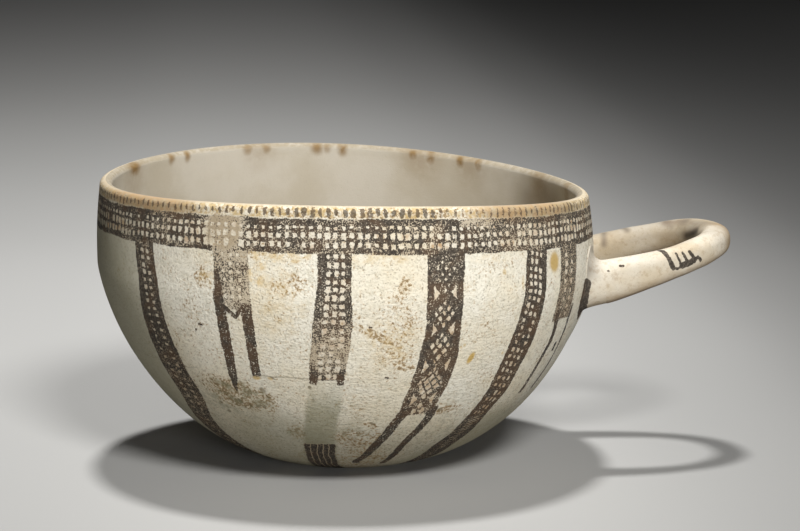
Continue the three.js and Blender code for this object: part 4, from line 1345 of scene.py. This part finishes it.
# How far a point lies outside the outer face, and the outward direction there
def offWall(point):
    angle = math.atan2(point.y, point.x + leanAt(point.z))
    radius = math.hypot(point.x + leanAt(point.z), point.y)
    height = clamp(point.z + dipAt(angle, point.z), 0.0, bowl["rimHeight"])
    out, up = outerNormal(height)
    outward = Vector((out * math.cos(angle), out * math.sin(angle), up))
    return (radius - outerRadius(height)) * out, outward


def dipAt(angle, height):
    above = clamp((height - bowl["seamHeight"]) / (bowl["rimHeight"] - bowl["seamHeight"]))
    dip = bowl["rimDip"] * math.cos(angle) + bowl["rimSag"] * math.cos(2 * (angle - bowl["rimSagTurn"]))
    return math.sin(above * math.pi / 2) * dip


def ontoWall(point, offset):
    for again in range(8):
        away, outward = offWall(point)
        point = point - outward * (away - offset)
    return point


def makeCollar(name, side):
    count = collar["sides"]
    stages = collar["steps"]
    rings = []
    under = []
    for index in range(count):
        turn = 2 * math.pi * index / count
        start = strapSurface(side, handle["collarLength"], turn, -0.06)
        distance = handle["collarLength"]
        while distance > -6 and offWall(ringPoint(side, distance, turn, 0.2))[0] > 0.2:
            distance -= 0.25
        corner = ringPoint(side, distance, turn, 0.4)
        middle = armAt(side, distance)[0]
        up = math.sin(turn)
        reach = lerp(collar["spreadBeside"], collar["spreadAbove"] if up > 0 else collar["spreadBelow"], abs(up))
        reach *= 0.9 + 0.2 * lump(turn, side * 9.0, 60)
        outwards = (corner - middle).normalized()
        end = ontoWall(corner + outwards * reach, -0.12)
        corner = ontoWall(corner, 0.05)
        leave = start + (start - strapSurface(side, handle["collarLength"] + 2.0, turn, -0.06)) * 1.5
        arrive = corner.lerp(end, 0.3)
        line = []
        for step in range(stages + 1):
            share = step / stages
            back = 1 - share
            line.append(start * back ** 3 + leave * (3 * share * back ** 2)
                        + arrive * (3 * share ** 2 * back) + end * share ** 3)
        buried = ontoWall(end - outwards * 1.2, -0.9)
        line.append(buried)
        line.append(ontoWall(ringPoint(side, distance - 0.4, turn, 0.05), -0.9))
        line.append(ringPoint(side, distance + 2.0, turn, -0.5))
        rings.append(line)
        for step in range(len(line)):
            under.append(-up * (1 - 0.5 * clamp(step / stages)))
    size = len(rings[0])
    points = [point for line in rings for point in line]
    faces = []
    for index in range(count):
        here = index * size
        there = ((index + 1) % count) * size
        for step in range(size):
            after = (step + 1) % size
            faces.append((here + step, there + step, there + after, here + after))
    return makeObject(name, points, faces, [lutingSlip], None, {"strapUnder": under})


farCollar = makeCollar("farCollar", 1)
nearCollar = makeCollar("nearCollar", -1)
print("collars made")


pad = {
    "radius": 14.4,
    "rise": 5.6,
    "rings": 14,
    "sides": 48,
}


# A low rounded boss of clay smoothed over a tenon's end on the inner face
def makePad(name, side):
    root = rootPoint(side)
    along = armAt(side, 0)[1]
    centre = root - along * (tenonLength(side) - handle["tenonProud"])
    middleAngle = math.atan2(centre.y, centre.x + leanAt(centre.z))
    middleHeight = centre.z + dipAt(middleAngle, centre.z)
    layers = []
    for face in (1, 0):
        for ring in range(pad["rings"] + 1):
            share = ring / pad["rings"]
            radius = pad["radius"] * share
            line = []
            for index in range(pad["sides"]):
                turn = 2 * math.pi * index / pad["sides"]
                wide = radius * (0.94 + 0.1 * lump(turn, side * 5.0, 70))
                height = middleHeight + wide * math.sin(turn)
                inner = innerRadius(height)
                angle = middleAngle + wide * math.cos(turn) / inner
                rise = pad["rise"] * (1 - share ** 2) ** 2 * face
                depth = -0.35 if face else -0.9
                line.append(unevenPoint(angle, inner - rise - depth, height))
            layers.append(line)
    top = layers[:pad["rings"] + 1]
    under = layers[pad["rings"] + 1:]
    order = top + list(reversed(under))
    points = [point for line in order for point in line]
    sides = pad["sides"]
    faces = []
    for row in range(len(order) - 1):
        for index in range(sides):
            after = (index + 1) % sides
            here = row * sides
            faces.append((here + index, here + sides + index, here + sides + after, here + after))
    marks = {"wallHeight": [60.0] * len(points), "wallRadius": [85.0] * len(points)}
    return makeObject(name, points, faces, [insideSlip], None, marks)


farPad = makePad("farPad", 1)
nearPad = makePad("nearPad", -1)
print("pads made")

pieces = (
    (bowlBase, "bowl_lower", "slip_lower"),
    (bowlWall, "bowl_upper", "slip_upper"),
    (handleStrap, "wishbone_handle", "slip_handle"),
    (farCollar, "far_outer_collar", "luting_clay"),
    (nearCollar, "near_outer_collar", "luting_clay"),
    (farPad, "far_inner_pad", "luting_clay"),
    (nearPad, "near_inner_pad", "luting_clay"),
)
for piece, node, slot in pieces:
    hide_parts(node)
    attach(piece, "root")


# Floor, light and camera
studio = {
    "floorFront": (188, 187, 184),
    "floorBounce": 0.43,    # how much of its light the floor gives back to the bowl
    "floorSize": 9.0,
    # painted falloff of the light: how pale the paper is drawn, by its distance back and to the side in metres
    "floorBack": [(-0.15, 0.81), (0.1, 0.97), (0.3, 1.06), (0.6, 0.92), (1.0, 0.7), (1.5, 0.48), (2.3, 0.36)],
    "floorAside": [(-0.3, 0.82), (-0.13, 0.92), (-0.03, 1.0), (0.15, 0.73), (0.25, 0.4), (0.36, 0.2), (0.62, 0.17)],
    "ambient": 0.003,
    # each lamp: place, size across, power
    "lamps": {
        "overheadLamp": ((-0.023, 0.44, 2.62), 0.26, 60.5),
        "frontLamp": ((0.34, -1.5, 1.3), 0.5, 33.0),
        "lowLamp": ((0.34, -1.94, 0.3), 0.6, 13.0),
        "leftLamp": ((-0.75, -1.85, 0.12), 0.6, 1.6),
    },
}


def makeFloor():
    size = studio["floorSize"]
    mesh = bpy.data.meshes.new("floor")
    mesh.from_pydata([(-size, -size, 0), (size, -size, 0), (size, size, 0), (-size, size, 0)], [], [(0, 1, 2, 3)])
    material, tree, shader = newMaterial("floorPaper")
    place = tree.nodes.new("ShaderNodeTexCoord").outputs["Object"]
    parts = tree.nodes.new("ShaderNodeSeparateXYZ")
    tree.links.new(place, parts.inputs[0])
    # painted light: the paper darkens with distance back and to the sides, standing in for the lamps' falloff
    back = curveOf(tree, parts.outputs["Y"], studio["floorBack"], 2.4, 1.0)
    aside = curveOf(tree, parts.outputs["X"], studio["floorAside"], 1.0, 1.0)
    level = product(tree, back, aside)
    body = mixed(tree, level, colour(8, 8, 8), colour(*studio["floorFront"]))
    seen = tree.nodes.new("ShaderNodeLightPath").outputs["Is Camera Ray"]
    given = calc(tree, "MULTIPLY_ADD", seen, 1.0 - studio["floorBounce"], studio["floorBounce"])
    body = mixed(tree, given, (0.0, 0.0, 0.0, 1.0), body)
    tree.links.new(body, shader.inputs["Base Color"])
    shader.inputs["Roughness"].default_value = 0.9
    shader.inputs["Specular IOR Level"].default_value = 0.1
    mesh.materials.append(material)
    made = bpy.data.objects.new("floor", mesh)
    bpy.context.collection.objects.link(made)
    return made


def makeLamp(name, place, size, power):
    data = bpy.data.lights.new(name, "AREA")
    data.shape = "DISK"
    data.size = size
    data.energy = power
    lamp = bpy.data.objects.new(name, data)
    lamp.location = place
    aim = Vector((0, 0, 0.05)) - Vector(place)
    lamp.rotation_euler = aim.to_track_quat("-Z", "Y").to_euler()
    bpy.context.collection.objects.link(lamp)


floor = makeFloor()
for lampName, (lampPlace, lampSize, lampPower) in studio["lamps"].items():
    makeLamp(lampName, lampPlace, lampSize, lampPower)

world = bpy.data.worlds.new("studioAir")
world.use_nodes = True
background = world.node_tree.nodes["Background"]
background.inputs["Color"].default_value = (1.0, 1.0, 1.0, 1.0)
background.inputs["Strength"].default_value = studio["ambient"]
bpy.context.scene.world = world

view = {
    "place": (-0.06285, -1.06188, 0.24935),
    "forward": (0.07568, 0.98352, -0.16419),
    "lens": 128.25,
}
cameraData = bpy.data.cameras.new("camera")
cameraData.lens = view["lens"]
cameraData.sensor_width = 36.0
camera = bpy.data.objects.new("camera", cameraData)
camera.location = view["place"]
camera.rotation_euler = Vector(view["forward"]).to_track_quat("-Z", "Y").to_euler()
bpy.context.collection.objects.link(camera)
bpy.context.scene.camera = camera
bpy.context.scene.view_settings.view_transform = "Standard"
print("studio made")
